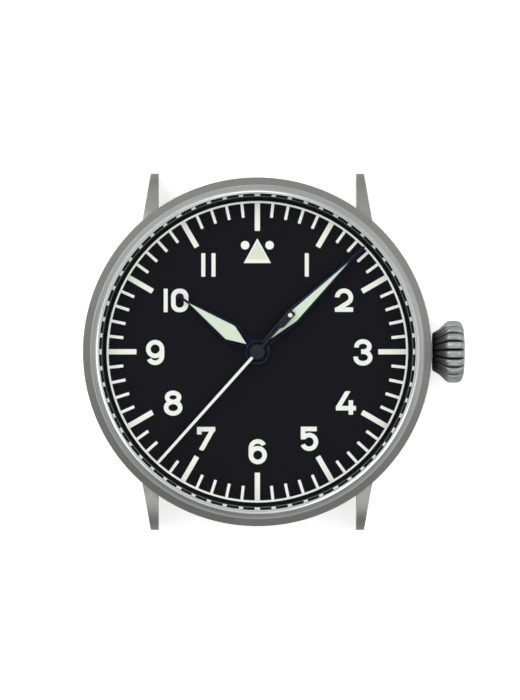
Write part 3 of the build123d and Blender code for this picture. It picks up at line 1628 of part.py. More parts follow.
def main_plate():
    body = disc(movement_radius, plate_back, plate_front)
    body += disc(movement_radius + plate_flange_width, plate_front - plate_flange_height, plate_front)
    block_start = sliding_start - stem_pilot_length / 2 - stem_block_length / 2 - sliding_travel / 2
    half = stem_pilot_radius + stem_block_wall
    block_end = block_start + stem_block_length
    body += block((block_start, -half), (block_end, half), stem_level - half, plate_back)
    bore = stem_pilot_radius + running_gap
    body -= rod(bore, block_start - cut_overrun, block_end + cut_overrun, stem_level)
    body -= disc(centre_tube_radius + running_gap, 0, plate_front)
    arbor_end = plate_back + plate_thickness / 2 - cut_overrun / 2
    body -= disc(barrel_arbor_radius + running_gap, 0, arbor_end, barrel_centre)
    wheel_reach = motion_module * minute_wheel_teeth / 2 + motion_module + seat_gap
    hour_reach = hour_module * hour_wheel_teeth / 2 + hour_module + seat_gap
    setting_reach = motion_module * setting_wheel_teeth / 2 + motion_module + seat_gap
    top = plate_front + cut_overrun
    body -= disc(hour_reach, motion_floor, top)
    body -= disc(wheel_reach, motion_floor, top, minute_wheel_centre)
    body -= disc(setting_reach, motion_floor, top, setting_wheel_centre)
    recess_end = movement_radius - bridge_foot_width / 2
    recess_start = (setting_wheel_centre[0], -yoke_arm - yoke_width)
    body -= block(recess_start, (recess_end, lever_arm + lever_width), keyless_floor, top)
    gear_reach = winding_tip_radius + seat_gap
    low = plate_back - cut_overrun
    ends = winding_start - free_gap, winding_end + free_gap
    body -= block((ends[0], -gear_reach), (ends[1], gear_reach), low, keyless_floor)
    slide_reach = sliding_radius + seat_gap
    slide_end = sliding_start - sliding_travel - seat_gap
    body -= block((slide_end, -slide_reach), (winding_start, slide_reach), low, keyless_floor)
    pin_start = stem_groove_start() - seat_gap
    pin_end = stem_groove_start() + stem_groove_width + crown_pull + seat_gap
    pin_swing = lever_arm - math.sqrt(lever_arm ** 2 - crown_pull ** 2)
    slot_half = pin_swing + lever_pin_radius + seat_gap
    body -= block((pin_start, -slot_half), (pin_end, slot_half), plate_back - cut_overrun, keyless_floor)
    for place in (third_centre, escape_centre, balance_centre, pallet_centre):
        body -= disc(jewel_radius, plate_back, plate_back + front_pivot_length + seat_gap, place)
    for place in dial_foot_places():
        body -= disc(dial_foot_radius + running_gap, dial_back - dial_foot_length - seat_gap, top, place)
    for place in plate_screw_places():
        body -= disc(screw_shank_radius, plate_back, plate_back + screw_grip_length + seat_gap, place)
    body -= disc(small_shank_radius, plate_back, plate_back + 2 * small_screw_radius, pallet_foot_place())
    return body + plate_posts()


def plate_posts():
    top = keyless_cover_bottom()
    posts = Part()
    posts += disc(minute_post_radius, motion_floor, top, minute_wheel_centre)
    posts += disc(minute_post_radius, motion_floor, top, setting_wheel_centre)
    lever = (stem_groove_start() + stem_groove_width / 2, lever_arm)
    posts += disc(minute_post_radius, keyless_floor, top, lever)
    posts += disc(minute_post_radius, keyless_floor, top, (yoke_place()[0], -yoke_arm))
    return posts


def keyless_cover_bottom():
    return lever_level() + lever_thickness + keyless_cover_gap


def keyless_cover():
    bottom = keyless_cover_bottom()
    lever = (stem_groove_start() + stem_groove_width / 2, lever_arm)
    places = (lever, (yoke_place()[0], -yoke_arm), setting_wheel_centre)
    body = capsule(places[0], places[1], lever_width, bottom, bottom + keyless_cover_thickness)
    body += capsule(places[1], places[2], lever_width, bottom, bottom + keyless_cover_thickness)
    body += capsule(places[2], places[0], lever_width, bottom, bottom + keyless_cover_thickness)
    return body


def plate_screw_places():
    places = screw_places(list(barrel_screw_angles) + list(train_screw_angles))
    places.append(cock_screw_place())
    return places


def bridge_screws():
    length = plate_back + screw_grip_length - screw_seat()
    pieces = []
    for index, place in enumerate(plate_screw_places()):
        angle = screw_turn_step * index
        sizes = (length, screw_head_radius, screw_head_height, screw_shank_radius)
        pieces.append(screw(place, screw_seat(), *sizes, angle))
    return pieces


def click_screw():
    seat = bridge_back + seat_gap
    length = bridge_thickness - free_gap - 2 * seat_gap
    sizes = (length, small_screw_radius, small_screw_height, small_shank_radius)
    return screw(click_pivot(), seat, *sizes, click_angle)


def small_screws():
    return [pallet_cock_screw(), click_screw(), crown_wheel_screw()]


makers = [
    case_middle, bezel, crystal, crystal_gasket, rehaut_ring, case_back, case_back_gasket, back_glass,
    back_glass_gasket, movement_ring, case_clamps, case_clamp_screws, dial, minute_track, hour_bars,
    orientation_mark, dial_numerals, hour_hand, hour_hand_lume, minute_hand, minute_hand_lume,
    second_hand, second_hand_paint, cannon_pinion, minute_wheel, hour_wheel, setting_wheel, crown,
    crown_gasket, crown_tube, winding_stem, winding_pinion, sliding_pinion, setting_lever, yoke,
    keyless_cover, crown_wheel, ratchet_wheel, ratchet_screw, click, small_screws, barrel, barrel_arbor,
    mainspring, centre_wheel, third_wheel, fourth_wheel, escape_wheel, pallet_fork, pallet_stones,
    balance_wheel, hairspring, hairspring_stud, main_plate, barrel_bridge, train_bridge, balance_cock,
    pallet_cock, bridge_screws, jewels,
]

os.makedirs("parts", exist_ok=True)
for maker in makers:
    made = maker()
    if isinstance(made, list):
        solids = [solid for piece in made for solid in piece.solids()]
    else:
        solids = made.solids()
    shape = solids[0] if len(solids) == 1 else Compound(children=solids)
    shape.label = maker.__name__
    export_step(shape, "parts/" + maker.__name__ + ".step")
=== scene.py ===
import json
import math

import bpy
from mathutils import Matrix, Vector


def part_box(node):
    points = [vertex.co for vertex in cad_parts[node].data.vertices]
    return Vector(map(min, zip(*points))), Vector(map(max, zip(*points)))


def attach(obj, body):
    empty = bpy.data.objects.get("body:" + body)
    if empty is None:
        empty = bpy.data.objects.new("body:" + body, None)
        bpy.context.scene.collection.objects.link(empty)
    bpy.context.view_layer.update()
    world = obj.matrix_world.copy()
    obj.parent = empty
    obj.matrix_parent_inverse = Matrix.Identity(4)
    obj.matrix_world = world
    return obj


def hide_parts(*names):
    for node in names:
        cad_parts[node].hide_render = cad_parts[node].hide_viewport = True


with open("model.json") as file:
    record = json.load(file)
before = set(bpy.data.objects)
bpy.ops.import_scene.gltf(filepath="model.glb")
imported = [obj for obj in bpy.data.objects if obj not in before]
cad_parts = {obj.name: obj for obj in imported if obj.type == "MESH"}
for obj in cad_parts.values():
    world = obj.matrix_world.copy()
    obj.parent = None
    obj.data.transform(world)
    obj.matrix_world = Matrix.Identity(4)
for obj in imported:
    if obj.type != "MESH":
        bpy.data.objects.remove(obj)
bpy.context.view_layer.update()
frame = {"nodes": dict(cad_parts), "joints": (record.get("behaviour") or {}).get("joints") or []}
mm = 0.001
tiny = mm / 1000  # places nearer than this are one place
flatness = math.radians(0.6)  # faces that meet at less than this are one face
pivots = {joint["name"]: joint["pos_m"] for joint in frame["joints"] if "pos_m" in joint}


# picking and finishing, the way it is done by hand

def leaveEdit():
    if bpy.context.object is not None and bpy.context.object.mode != "OBJECT":
        bpy.ops.object.mode_set(mode="OBJECT")
    bpy.ops.object.select_all(action="DESELECT")


def takeUp(piece):
    leaveEdit()
    piece.select_set(True)
    bpy.context.view_layer.objects.active = piece
    return piece


def editAll(piece):
    takeUp(piece)
    bpy.ops.object.mode_set(mode="EDIT")
    bpy.ops.mesh.select_mode(type="VERT")
    bpy.ops.mesh.select_all(action="SELECT")


def pickVertices(piece, wanted):
    # selects the vertices whose place, in millimetres, passes the test
    takeUp(piece)
    bpy.ops.object.mode_set(mode="EDIT")
    bpy.ops.mesh.select_mode(type="VERT")
    bpy.ops.mesh.select_all(action="DESELECT")
    bpy.ops.object.mode_set(mode="OBJECT")
    count = 0
    for vertex in piece.data.vertices:
        if wanted(vertex.co / mm):
            vertex.select = True
            count += 1
    bpy.ops.object.mode_set(mode="EDIT")
    return count


def named(name):
    piece = bpy.context.object
    piece.name = name
    piece.data.name = name
    return piece


def copyTo(source, place=(0, 0, 0), turn=0.0):
    # a copy with a mesh of its own, at a place or turned about the watch's axis
    copy = source.copy()
    copy.data = source.data.copy()
    copy.location = place
    copy.rotation_euler = (0, 0, math.radians(turn))
    bpy.context.scene.collection.objects.link(copy)
    return copy


def joinAs(name, pieces):
    leaveEdit()
    for piece in pieces:
        piece.select_set(True)
    bpy.context.view_layer.objects.active = pieces[0]
    bpy.ops.object.join()
    return named(name)


def softenEdges(piece, width, segments=2, angle=28.0):
    takeUp(piece)
    bevel = piece.modifiers.new("softEdges", "BEVEL")
    bevel.width = width * mm
    bevel.segments = segments
    bevel.limit_method = "ANGLE"
    bevel.angle_limit = math.radians(angle)
    bevel.use_clamp_overlap = True
    bevel.miter_outer = "MITER_ARC"
    bpy.ops.object.modifier_apply(modifier=bevel.name)


def smoothOver(piece, angle=35.0):
    takeUp(piece)
    bpy.ops.object.shade_smooth_by_angle(angle=math.radians(angle))
    leaveEdit()


def levelFaces(piece):
    # large flat faces keep their shading level up to the broken edges
    takeUp(piece)
    weight = piece.modifiers.new("levelFaces", "WEIGHTED_NORMAL")
    weight.mode = "FACE_AREA"
    weight.weight = 100
    weight.keep_sharp = True
    bpy.ops.object.modifier_apply(modifier=weight.name)


def settle(piece, body, replaced=()):
    # puts the piece's place into its mesh, and ties it to its body
    takeUp(piece)
    bpy.ops.object.transform_apply(location=True, rotation=True, scale=True)
    leaveEdit()
    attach(piece, body)
    for node in replaced:
        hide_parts(node)
    return piece


def lathe(name, profile, steps, axis="Z", height=0.0, closed=True):
    # profile: pairs of distance from the axis and place along it, in millimetres
    def spot(pair):
        if axis == "Z":
            return Vector((pair[0], 0.0, pair[1])) * mm
        return Vector((pair[1], 0.0, height + pair[0])) * mm

    leaveEdit()
    bpy.ops.mesh.primitive_plane_add(size=mm, location=(0, 0, 0))
    piece = named(name)
    editAll(piece)
    bpy.ops.mesh.merge(type="CENTER")
    bpy.ops.transform.translate(value=spot(profile[0]))
    for before, after in zip(profile, profile[1:]):
        bpy.ops.mesh.extrude_vertices_move(TRANSFORM_OT_translate={"value": spot(after) - spot(before)})
    bpy.ops.mesh.select_all(action="DESELECT")
    bpy.ops.object.mode_set(mode="OBJECT")
    if closed:
        ends = (spot(profile[0]), spot(profile[-1]))
        for vertex in piece.data.vertices:
            vertex.select = min((vertex.co - end).length for end in ends) < tiny
        bpy.ops.object.mode_set(mode="EDIT")
        bpy.ops.mesh.edge_face_add()
    else:
        bpy.ops.object.mode_set(mode="EDIT")
    bpy.ops.mesh.select_all(action="SELECT")
    middle = (0, 0, 0) if axis == "Z" else (0, 0, height * mm)
    turn = (0, 0, 1) if axis == "Z" else (1, 0, 0)
    bpy.ops.mesh.spin(steps=steps, angle=2 * math.pi, center=middle, axis=turn)
    bpy.ops.mesh.select_all(action="SELECT")
    bpy.ops.mesh.remove_doubles(threshold=tiny / 2)
    bpy.ops.mesh.normals_make_consistent(inside=False)
    leaveEdit()
    return piece


def profileOf(shape, corners):
    # a profile from the names of each corner's distance and place in the shape's dictionary
    return [(shape[distance], shape[place]) for distance, place in corners]


def softCopy(name, node, width, segments=2, angle=28.0):
    # a copy of a carried-over node with its sharp edges broken
    source = frame["nodes"][node]
    piece = bpy.data.objects.new(name, source.data.copy())
    bpy.context.scene.collection.objects.link(piece)
    piece.data.name = name
    editAll(piece)
    bpy.ops.mesh.remove_doubles(threshold=tiny)
    bpy.ops.mesh.dissolve_limited(angle_limit=flatness, use_dissolve_boundaries=False)
    leaveEdit()
    softenEdges(piece, width, segments, angle)
    smoothOver(piece)
    levelFaces(piece)
    return piece


# shader maths

class Wire:
    # one output of a node; sums on wires add Math nodes
    def __init__(self, paint, socket):
        self.paint = paint
        self.socket = socket

    def maths(self, operation, *values):
        return self.paint.maths(operation, *values)

    def __add__(self, other):
        return self.maths("ADD", self, other)

    def __radd__(self, other):
        return self.maths("ADD", other, self)

    def __sub__(self, other):
        return self.maths("SUBTRACT", self, other)

    def __rsub__(self, other):
        return self.maths("SUBTRACT", other, self)

    def __mul__(self, other):
        return self.maths("MULTIPLY", self, other)

    def __rmul__(self, other):
        return self.maths("MULTIPLY", other, self)

    def __truediv__(self, other):
        return self.maths("DIVIDE", self, other)

    def __pow__(self, other):
        return self.maths("POWER", self, other)

    def sine(self):
        return self.maths("SINE", self)

    def size(self):
        return self.maths("ABSOLUTE", self)

    def root(self):
        return self.maths("SQRT", self)

    def part(self):
        return self.maths("FRACT", self)

    def nearest(self):
        return self.maths("ROUND", self)

    def atMost(self, other):
        return self.maths("MINIMUM", self, other)

    def atLeast(self, other):
        return self.maths("MAXIMUM", self, other)

    def between(self, low, high):
        # 0 below low, 1 above high, smooth in between
        settings = {"interpolation_type": "SMOOTHSTEP", "clamp": True}
        values = {"Value": self, "From Min": low, "From Max": high}
        return self.paint.add("ShaderNodeMapRange", settings, values)


class Paint:
    # the nodes of one material, or of the world
    def __init__(self, name, world=False):
        self.world = world
        self.owner = bpy.data.worlds.new(name) if world else bpy.data.materials.new(name)
        self.owner.use_nodes = True
        self.tree = self.owner.node_tree
        self.tree.nodes.clear()

    def add(self, kind, settings=None, values=None, output=0):
        node = self.tree.nodes.new(kind)
        for key, value in (settings or {}).items():
            if key == "stops":
                stops = node.color_ramp.elements
                while len(stops) < len(value):
                    stops.new(0.5)
                for stop, (place, colour) in zip(stops, value):
                    stop.position = place
                    stop.color = (*colour, 1.0)
            else:
                setattr(node, key, value)
        for key, value in (values or {}).items():
            socket = node.inputs[key]
            if isinstance(value, Wire):
                self.tree.links.new(value.socket, socket)
            elif isinstance(value, tuple) and len(value) == 3 and socket.type == "RGBA":
                socket.default_value = (*value, 1.0)
            else:
                socket.default_value = value
        if not node.outputs:
            return node
        return Wire(self, node.outputs[output])

    def place(self, middle=(0.0, 0.0, 0.0), turn=0.0, stretch=(1.0, 1.0, 1.0)):
        # the surface's place in millimetres, from a middle, turned and stretched
        spot = self.add("ShaderNodeTexCoord", output="Object")
        scale = tuple(value / mm for value in stretch)
        turned = (0.0, 0.0, math.radians(turn))
        start = tuple(value * mm for value in middle)
        moved = self.add("ShaderNodeVectorMath", {"operation": "SUBTRACT"}, {0: spot, 1: start})
        return self.add("ShaderNodeMapping", None, {"Vector": moved, "Rotation": turned, "Scale": scale})

    def axes(self, vector):
        split = self.add("ShaderNodeSeparateXYZ", None, {"Vector": vector})
        node = split.socket.node
        return [Wire(self, node.outputs[index]) for index in range(3)]

    def vector(self, x, y, z):
        return self.add("ShaderNodeCombineXYZ", None, {"X": x, "Y": y, "Z": z})

    def level(self, low=0.90, high=0.985):
        # 1 on faces that lie flat, 0 on bevels and flanks
        across = self.axes(self.add("ShaderNodeTexCoord", output="Normal"))[2]
        return across.size().between(low, high)

    def noise(self, vector, scale, detail=2.0, rough=0.5):
        values = {"Vector": vector, "Scale": scale, "Detail": detail, "Roughness": rough}
        return self.add("ShaderNodeTexNoise", None, values)

    def grains(self, vector, scale):
        values = {"Vector": vector, "Scale": scale}
        return self.add("ShaderNodeTexVoronoi", {"feature": "F1"}, values, "Distance")

    def reach(self, x, y, least=0.0001):
        # distance from the axis, never quite zero
        return (x * x + y * y + least).root()

    def circles(self, x, y, z, reach, lines):
        # noise drawn out into fine circles round the axis
        along = reach * lines + z * lines
        return self.noise(self.vector(x / reach * 0.8, y / reach * 0.8, along), 1.0, 3.0, 0.7)

    def blend(self, share, first, second):
        return self.add("ShaderNodeMix", {"data_type": "RGBA"}, {0: share, 6: first, 7: second}, 2)

    def vary(self, share, colour, low, high):
        # one colour from its darker to its lighter shade
        return self.blend(share, shaded(colour, low), shaded(colour, high))

    def maths(self, operation, *values):
        return self.add("ShaderNodeMath", {"operation": operation}, dict(enumerate(values)))

    def bump(self, height, strength, depth):
        values = {"Height": height, "Strength": strength, "Distance": depth * mm}
        return self.add("ShaderNodeBump", None, values)

    def output(self, shader):
        kind = "ShaderNodeOutputWorld" if self.world else "ShaderNodeOutputMaterial"
        self.add(kind, None, {"Surface": shader})
        return self.owner

    def finish(self, values):
        return self.output(self.add("ShaderNodeBsdfPrincipled", None, values))

    def metal(self, base, roughness, normal):
        return self.finish({"Base Color": base, "Metallic": 1.0, "Roughness": roughness, "Normal": normal})

    def coating(self, base, roughness, normal, gloss=0.5):
        values = {"Base Color": base, "Roughness": roughness, "Normal": normal, "Specular IOR Level": gloss}
        return self.finish(values)

    def mix(self, share, first, second):
        return self.add("ShaderNodeMixShader", None, {0: share, 1: first, 2: second})

    def rays(self, kinds):
        # 1 for a ray of any of the kinds, 0 for every other
        path = self.add("ShaderNodeLightPath").socket.node
        total = 0.0
        for kind in kinds:
            total = Wire(self, path.outputs[kind]) + total
        return total.atMost(1.0)


def tone(red, green, blue):
    # a colour as a screen gives it, from 0 to 255, made linear
    def line(value):
        share = value / 255
        return share / 12.92 if share <= 0.04045 else ((share + 0.055) / 1.055) ** 2.4
    return line(red), line(green), line(blue)


def shaded(colour, factor):
    return tuple(min(1.0, channel * factor) for channel in colour)


# in each shape, edges past the sharp angle are broken, and edges past the smooth angle keep a crisp shade;
# the polish of the bezel's chamfer, and the painted highlight of its lighter colour, end a gap inside the
# ledge
bezelShape = {
    "bore": 19.15, "ledge": 19.45, "skirt": 19.8, "radius": 20.12, "foot": 8.6, "seat": 9.2,
    "edge": 10.2, "top": 11.0, "lip": 10.85, "under": 9.6, "steps": 240, "round": 0.06,
    "sharp": 20.0, "smooth": 40.0, "polishAndHighlightGap": 0.1, "polishAndHighlightFade": 0.07,
}

# the crown's profile gives each ring's radius, its place along the stem and how deep the grooves cut it;
# the waves are the shares of that depth from one groove to the next; the three pairs before the profile say
# between which values the painted shade fades: from the grooves onto the lobes, at the outer end, and away
# from the case
crownShape = {
    "height": pivots["crown_turn"][2] / mm, "flutes": 20, "split": 10, "lead": 4.3,
    "waves": (1.0, 0.5, 0.16, 0.04, 0.01, 0.0, 0.01, 0.04, 0.16, 0.5),
    "hollow": 23.1, "near": 0.005, "smooth": 50.0,
    "grooveShade": (0.06, 0.62), "end": (24.9, 25.05), "caseShade": (21.3, 23.3),
    "profile": (
        (1.45, 23.1, 0.0), (1.45, 21.2, 0.0), (2.2, 21.2, 0.06), (2.33, 21.3, 0.14), (2.52, 21.65, 0.26),
        (2.8, 22.08, 0.34), (3.18, 22.46, 0.4), (3.5, 22.76, 0.44), (3.69, 23.03, 0.45),
        (3.755, 23.32, 0.45), (3.765, 23.8, 0.45), (3.75, 24.26, 0.44), (3.66, 24.52, 0.4),
        (3.46, 24.74, 0.3), (3.12, 24.92, 0.14), (2.7, 25.03, 0.0), (1.55, 25.13, 0.0), (0.0, 25.15, 0.0),
    ),
}

rehautShape = {
    "foot": 18.5, "outer": 19.4, "lip": 19.04, "seat": 8.0, "turn": 9.2, "top": 9.6,
    "steps": 240, "round": 0.03, "sharp": 20.0, "smooth": 14.0,
    # where the painted reflection, one fine bright line, lies on the slope and how it fades
    "reflectionStart": 18.68, "reflectionEnd": 18.79, "reflectionFade": 0.04,
    "marks": 60, "hourEvery": 5, "markStart": 18.79, "markEnd": 19.038,
    "markWidth": 0.52, "hourWidth": 0.66, "markDepth": 0.02, "markRound": 0.006,
}


# finishes

def blastedSteel(name, colour, rough=0.42, grain=9.0, depth=0.004):
    # bead-blasted metal: fine pits, soft clouds and a few hairlines
    paint = Paint(name)
    spot = paint.place()
    pits = paint.noise(spot, grain, 3.0, 0.65)
    clouds = paint.noise(spot, 0.35, 2.0)
    hair = paint.noise(paint.place(turn=37.0, stretch=(0.4, 9.0, 3.0)), 1.3, 1.0)
    lines = hair.between(0.62, 0.70)
    base = paint.vary(pits.between(0.3, 0.7), colour, 0.86, 1.12)
    base = paint.blend(lines * 0.25, base, shaded(colour, 1.3))
    roughness = rough + (clouds - 0.5) * 0.14 + (pits - 0.5) * 0.12 - lines * 0.06
    normal = paint.bump(pits, 0.5, depth)
    return paint.metal(base, roughness, normal)


def turnedSteel(name, colour, rough=0.34, lines=14.0, middle=(0.0, 0.0, 0.0), depth=0.0025, sheen=0.16):
    # metal faced on a lathe: fine circles round the middle
    paint = Paint(name)
    spot = paint.place(middle)
    x, y, z = paint.axes(spot)
    reach = paint.reach(x, y)
    circles = paint.circles(x, y, z, reach, lines)
    clouds = paint.noise(spot, 0.4, 2.0)
    base = paint.vary(circles.between(0.3, 0.7), colour, 1.0 - sheen, 1.0 + sheen)
    roughness = rough + (circles - 0.5) * 0.16 + (clouds - 0.5) * 0.1
    normal = paint.bump(circles, 0.5, depth)
    return paint.metal(base, roughness, normal)


def flangeLacquer(name, colour, line):
    # dark satin lacquer on the sloping inner ring, with one fine bright line painted on as a reflection
    paint = Paint(name)
    x, y = paint.axes(paint.place())[:2]
    reach = paint.reach(x, y)
    film = paint.noise(paint.place(), 3.0, 2.0)
    shape = rehautShape
    start, end, fade = shape["reflectionStart"], shape["reflectionEnd"], shape["reflectionFade"]
    # painted reflection: a fine bright band round the slope
    bright = reach.between(start, start + fade) * (1 - reach.between(end, end + fade))
    base = paint.vary(film.between(0.3, 0.7), colour, 0.85, 1.15)
    base = paint.blend(bright * (0.7 + film * 0.3), base, line)
    roughness = 0.5 + (film - 0.5) * 0.1
    normal = paint.bump(film, 0.3, 0.002)
    return paint.coating(base, roughness, normal, 0.08)


def bezelSteel(name, colour, polished):
    # fine grinding round the ring, and a polished chamfer inside whose lighter colour is a painted
    # highlight
    paint = Paint(name)
    x, y, z = paint.axes(paint.place())
    reach = paint.reach(x, y)
    circles = paint.circles(x, y, z, reach, 12.0)
    clouds = paint.noise(paint.place(), 0.4, 2.0)
    shape = bezelShape
    end = shape["ledge"] - shape["polishAndHighlightGap"]
    chamfer = 1 - reach.between(end, end + shape["polishAndHighlightFade"])
    base = paint.vary(circles.between(0.3, 0.7), colour, 0.86, 1.14)
    # painted highlight: the chamfer takes a lighter colour than the ground steel, besides being smoother
    base = paint.blend(chamfer, base, polished)
    roughness = 0.34 + (circles - 0.5) * 0.16 + (clouds - 0.5) * 0.1 - chamfer * 0.06
    normal = paint.bump(circles * (1 - chamfer), 0.5, 0.0025)
    return paint.metal(base, roughness, normal)


def plainMetal(name, colour, rough=0.2, grain=5.0, depth=0.001):
    # polished or flat-ground metal with light marks of handling
    paint = Paint(name)
    spot = paint.place()
    fine = paint.noise(spot, grain, 3.0, 0.6)
    clouds = paint.noise(spot, 0.5, 2.0)
    marks = paint.noise(paint.place(turn=64.0, stretch=(0.5, 12.0, 4.0)), 1.1, 1.0).between(0.66, 0.72)
    base = paint.vary(clouds.between(0.3, 0.7), colour, 0.93, 1.07)
    roughness = rough + (clouds - 0.5) * 0.1 + (fine - 0.5) * 0.06 + marks * 0.08
    normal = paint.bump(fine, 0.35, depth)
    return paint.metal(base, roughness, normal)


def crownSteel(name, colour):
    # satin steel, with painted shade in the grooves and towards the case, and the lobes and the outer end
    # left clear
    paint = Paint(name)
    shape = crownShape
    x, y, z = paint.axes(paint.place((0.0, 0.0, shape["height"])))
    angle = paint.maths("ARCTAN2", y, z) - math.radians(shape["lead"])
    lobe = (angle * shape["flutes"] / 2).sine().size().between(*shape["grooveShade"])
    lobe = lobe.atLeast(x.between(*shape["end"]))
    fine = paint.noise(paint.place(stretch=(0.6, 4.0, 4.0)), 4.0, 3.0, 0.6)
    clouds = paint.noise(paint.place(), 0.6, 2.0)
    outward = x.between(*shape["caseShade"])
    base = paint.vary(clouds.between(0.3, 0.7), colour, 0.92, 1.08)
    # painted shade: the grooves are darkened, and on the next line the crown darkens towards the case
    base = paint.blend(lobe, shaded(colour, 0.07), base)
    base = paint.blend(outward, shaded(colour, 0.06), base)
    roughness = 0.46 + (fine - 0.5) * 0.12 + (clouds - 0.5) * 0.08
    normal = paint.bump(fine, 0.35, 0.0015)
    return paint.metal(base, roughness, normal)


def stripedPlate(name, colour, width=1.5, turn=38.0):
    # straight ribs of ground stripes over the flat of plated bridges, and polished bevels and flanks, whose
    # lighter colour is a painted highlight
    paint = Paint(name)
    spot = paint.place(turn=turn)
    x, y, z = paint.axes(spot)
    rib = (x / width).part()
    crest = (rib * math.pi).sine()
    scoring = paint.noise(paint.vector(y * 9.0 + rib * rib * 5.0, x * 0.6, z), 1.0, 3.0, 0.7)
    clouds = paint.noise(spot, 0.4, 2.0)
    flat = paint.level()
    base = paint.vary(crest, colour, 0.62, 1.1)
    base = paint.blend((scoring - 0.4).atLeast(0.0) * 0.5, base, shaded(colour, 1.18))
    # partly painted highlight: bevels and flanks are lighter in colour than the stripes, as well as
    # smoother
    base = paint.blend(flat, shaded(colour, 1.16), base)
    roughness = 0.12 + flat * (0.10 + (1 - crest) * 0.16 + (scoring - 0.5) * 0.12) + (clouds - 0.5) * 0.06
    normal = paint.bump((crest * 0.8 + scoring * 0.12) * flat, 0.6, 0.024)
    return paint.metal(base, roughness, normal)


def pearledPlate(name, colour, pitch=0.7):
    # overlapping small ground circles over the main plate
    paint = Paint(name)
    x, y = paint.axes(paint.place(turn=20.0))[:2]
    row = (y / (pitch * 0.86)).nearest()
    shift = (row * 0.5).part() * pitch
    across = x + shift
    dx = across - (across / pitch).nearest() * pitch
    dy = y - row * (pitch * 0.86)
    reach = paint.reach(dx, dy, 0.00001)
    rings = paint.noise(paint.vector(reach * 16.0, dx / (reach + 0.01) * 0.5, row), 1.0, 2.0)
    dome = 1 - reach / pitch
    base = paint.vary(rings.between(0.3, 0.7), colour, 0.82, 1.1)
    roughness = 0.26 + (rings - 0.5) * 0.2 + (1 - dome) * 0.08
    normal = paint.bump(dome * 0.7 + rings * 0.2, 0.5, 0.012)
    return paint.metal(base, roughness, normal)


def dialPaint(name, colour):
    # matt black dial lacquer with a very fine tooth
    paint = Paint(name)
    spot = paint.place()
    tooth = paint.noise(spot, 14.0, 3.0, 0.7)
    clouds = paint.noise(spot, 0.22, 2.0)
    base = paint.vary(tooth.between(0.35, 0.65), colour, 0.86, 1.16)
    base = paint.blend(clouds.between(0.35, 0.75) * 0.12, base, shaded(colour, 1.3))
    roughness = 0.72 + (tooth - 0.5) * 0.16
    normal = paint.bump(tooth, 0.45, 0.004)
    return paint.coating(base, roughness, normal, 0.05)


def lumePaint(name, colour, grain=16.0, rough=0.8):
    # luminous compound: a dense grainy paste
    paint = Paint(name)
    spot = paint.place()
    grains = paint.grains(spot, grain)
    clouds = paint.noise(spot, 1.2, 2.0)
    base = paint.vary(grains.between(0.1, 0.8) * 0.5, colour, 1.04, 0.9)
    base = paint.blend(clouds.between(0.4, 0.8) * 0.2, base, shaded(colour, 0.88))
    normal = paint.bump(1 - grains, 0.35, 0.008)
    roughness = rough + (clouds - 0.5) * 0.1
    return paint.coating(base, roughness, normal, 0.25)


# the triangle at twelve: its base and tip above the centre, half its base, and its pale border
markShape = {"base": 10.9, "tip": 13.76, "half": 1.65, "border": 0.3}


def markPaint(name, colour, pale):
    # luminous compound in the triangle, inside a pale border; the dots beside it are pale throughout
    paint = Paint(name)
    shape = markShape
    x, y = paint.axes(paint.place())[:2]
    grains = paint.grains(paint.place(), 16.0)
    rise = shape["tip"] - shape["base"]
    side = math.hypot(rise, shape["half"])
    inside = (shape["half"] - x.size()) * (rise / side) - (y - shape["base"]) * (shape["half"] / side)
    filled = inside.atMost(y - shape["base"]).between(shape["border"] * 0.5, shape["border"])
    base = paint.vary(grains.between(0.1, 0.8) * 0.5, colour, 1.04, 0.9)
    base = paint.blend(filled, pale, base)
    normal = paint.bump(1 - grains, 0.35, 0.008)
    return paint.coating(base, 0.8, normal, 0.25)


def printPaint(name, colour):
    # pad-printed colour: thin, even, with a slightly uneven film
    paint = Paint(name)
    spot = paint.place()
    film = paint.noise(spot, 6.0, 2.0)
    base = paint.vary(film.between(0.3, 0.7), colour, 0.95, 1.03)
    roughness = 0.62 + (film - 0.5) * 0.14
    normal = paint.bump(film, 0.3, 0.003)
    return paint.coating(base, roughness, normal, 0.25)


def bluedSteel(name, colour, glint):
    # heat-blued steel, nearly black on the flat, with a lighter blue painted on the bevels as a glint
    paint = Paint(name)
    spot = paint.place()
    heat = paint.noise(spot, 0.3, 2.0)
    grain = paint.noise(paint.place(turn=45.0, stretch=(1.0, 10.0, 10.0)), 1.0, 3.0, 0.6)
    violet = (colour[0] * 1.2, colour[1], colour[2] * 1.1)
    base = paint.blend(heat.between(0.35, 0.7), shaded(colour, 0.9), violet)
    base = paint.blend(grain.between(0.55, 0.8) * 0.25, base, shaded(colour, 1.4))
    # painted glint: bevels and flanks take the lighter blue
    base = paint.blend(paint.level(), glint, base)
    roughness = 0.26 + (grain - 0.5) * 0.14
    normal = paint.bump(grain, 0.3, 0.001)
    return paint.metal(base, roughness, normal)


# the seconds hand's blade: its direction, half the width of its paint, and where the paint's border fades
bladeValues = {"turn": 131.9, "half": 0.165, "fade": 0.01, "start": 0.1}


def enamel(name, colour, rough=0.35, under=None):
    # a hard lacquer on a hand; with a colour under it, a border stays bare along both edges of the blade
    paint = Paint(name)
    film = paint.noise(paint.place(), 5.0, 2.0)
    base = paint.vary(film.between(0.3, 0.7), colour, 0.92, 1.05)
    if under:
        values = bladeValues
        along, across = paint.axes(paint.place(turn=values["turn"]))[:2]
        border = across.size().between(values["half"], values["half"] + values["fade"])
        base = paint.blend(border * along.between(0.0, values["start"]), base, under)
    roughness = rough + (film - 0.5) * 0.12
    normal = paint.bump(film, 0.25, 0.002)
    return paint.coating(base, roughness, normal, 0.3)


def rubber(name, colour):
    # a moulded seal with a dull skin
    paint = Paint(name)
    spot = paint.place()
    grain = paint.noise(spot, 7.0, 3.0, 0.6)
    base = paint.vary(grain, colour, 0.8, 1.25)
    roughness = 0.6 + (grain - 0.5) * 0.2
    normal = paint.bump(grain, 0.4, 0.004)
    return paint.coating(base, roughness, normal)


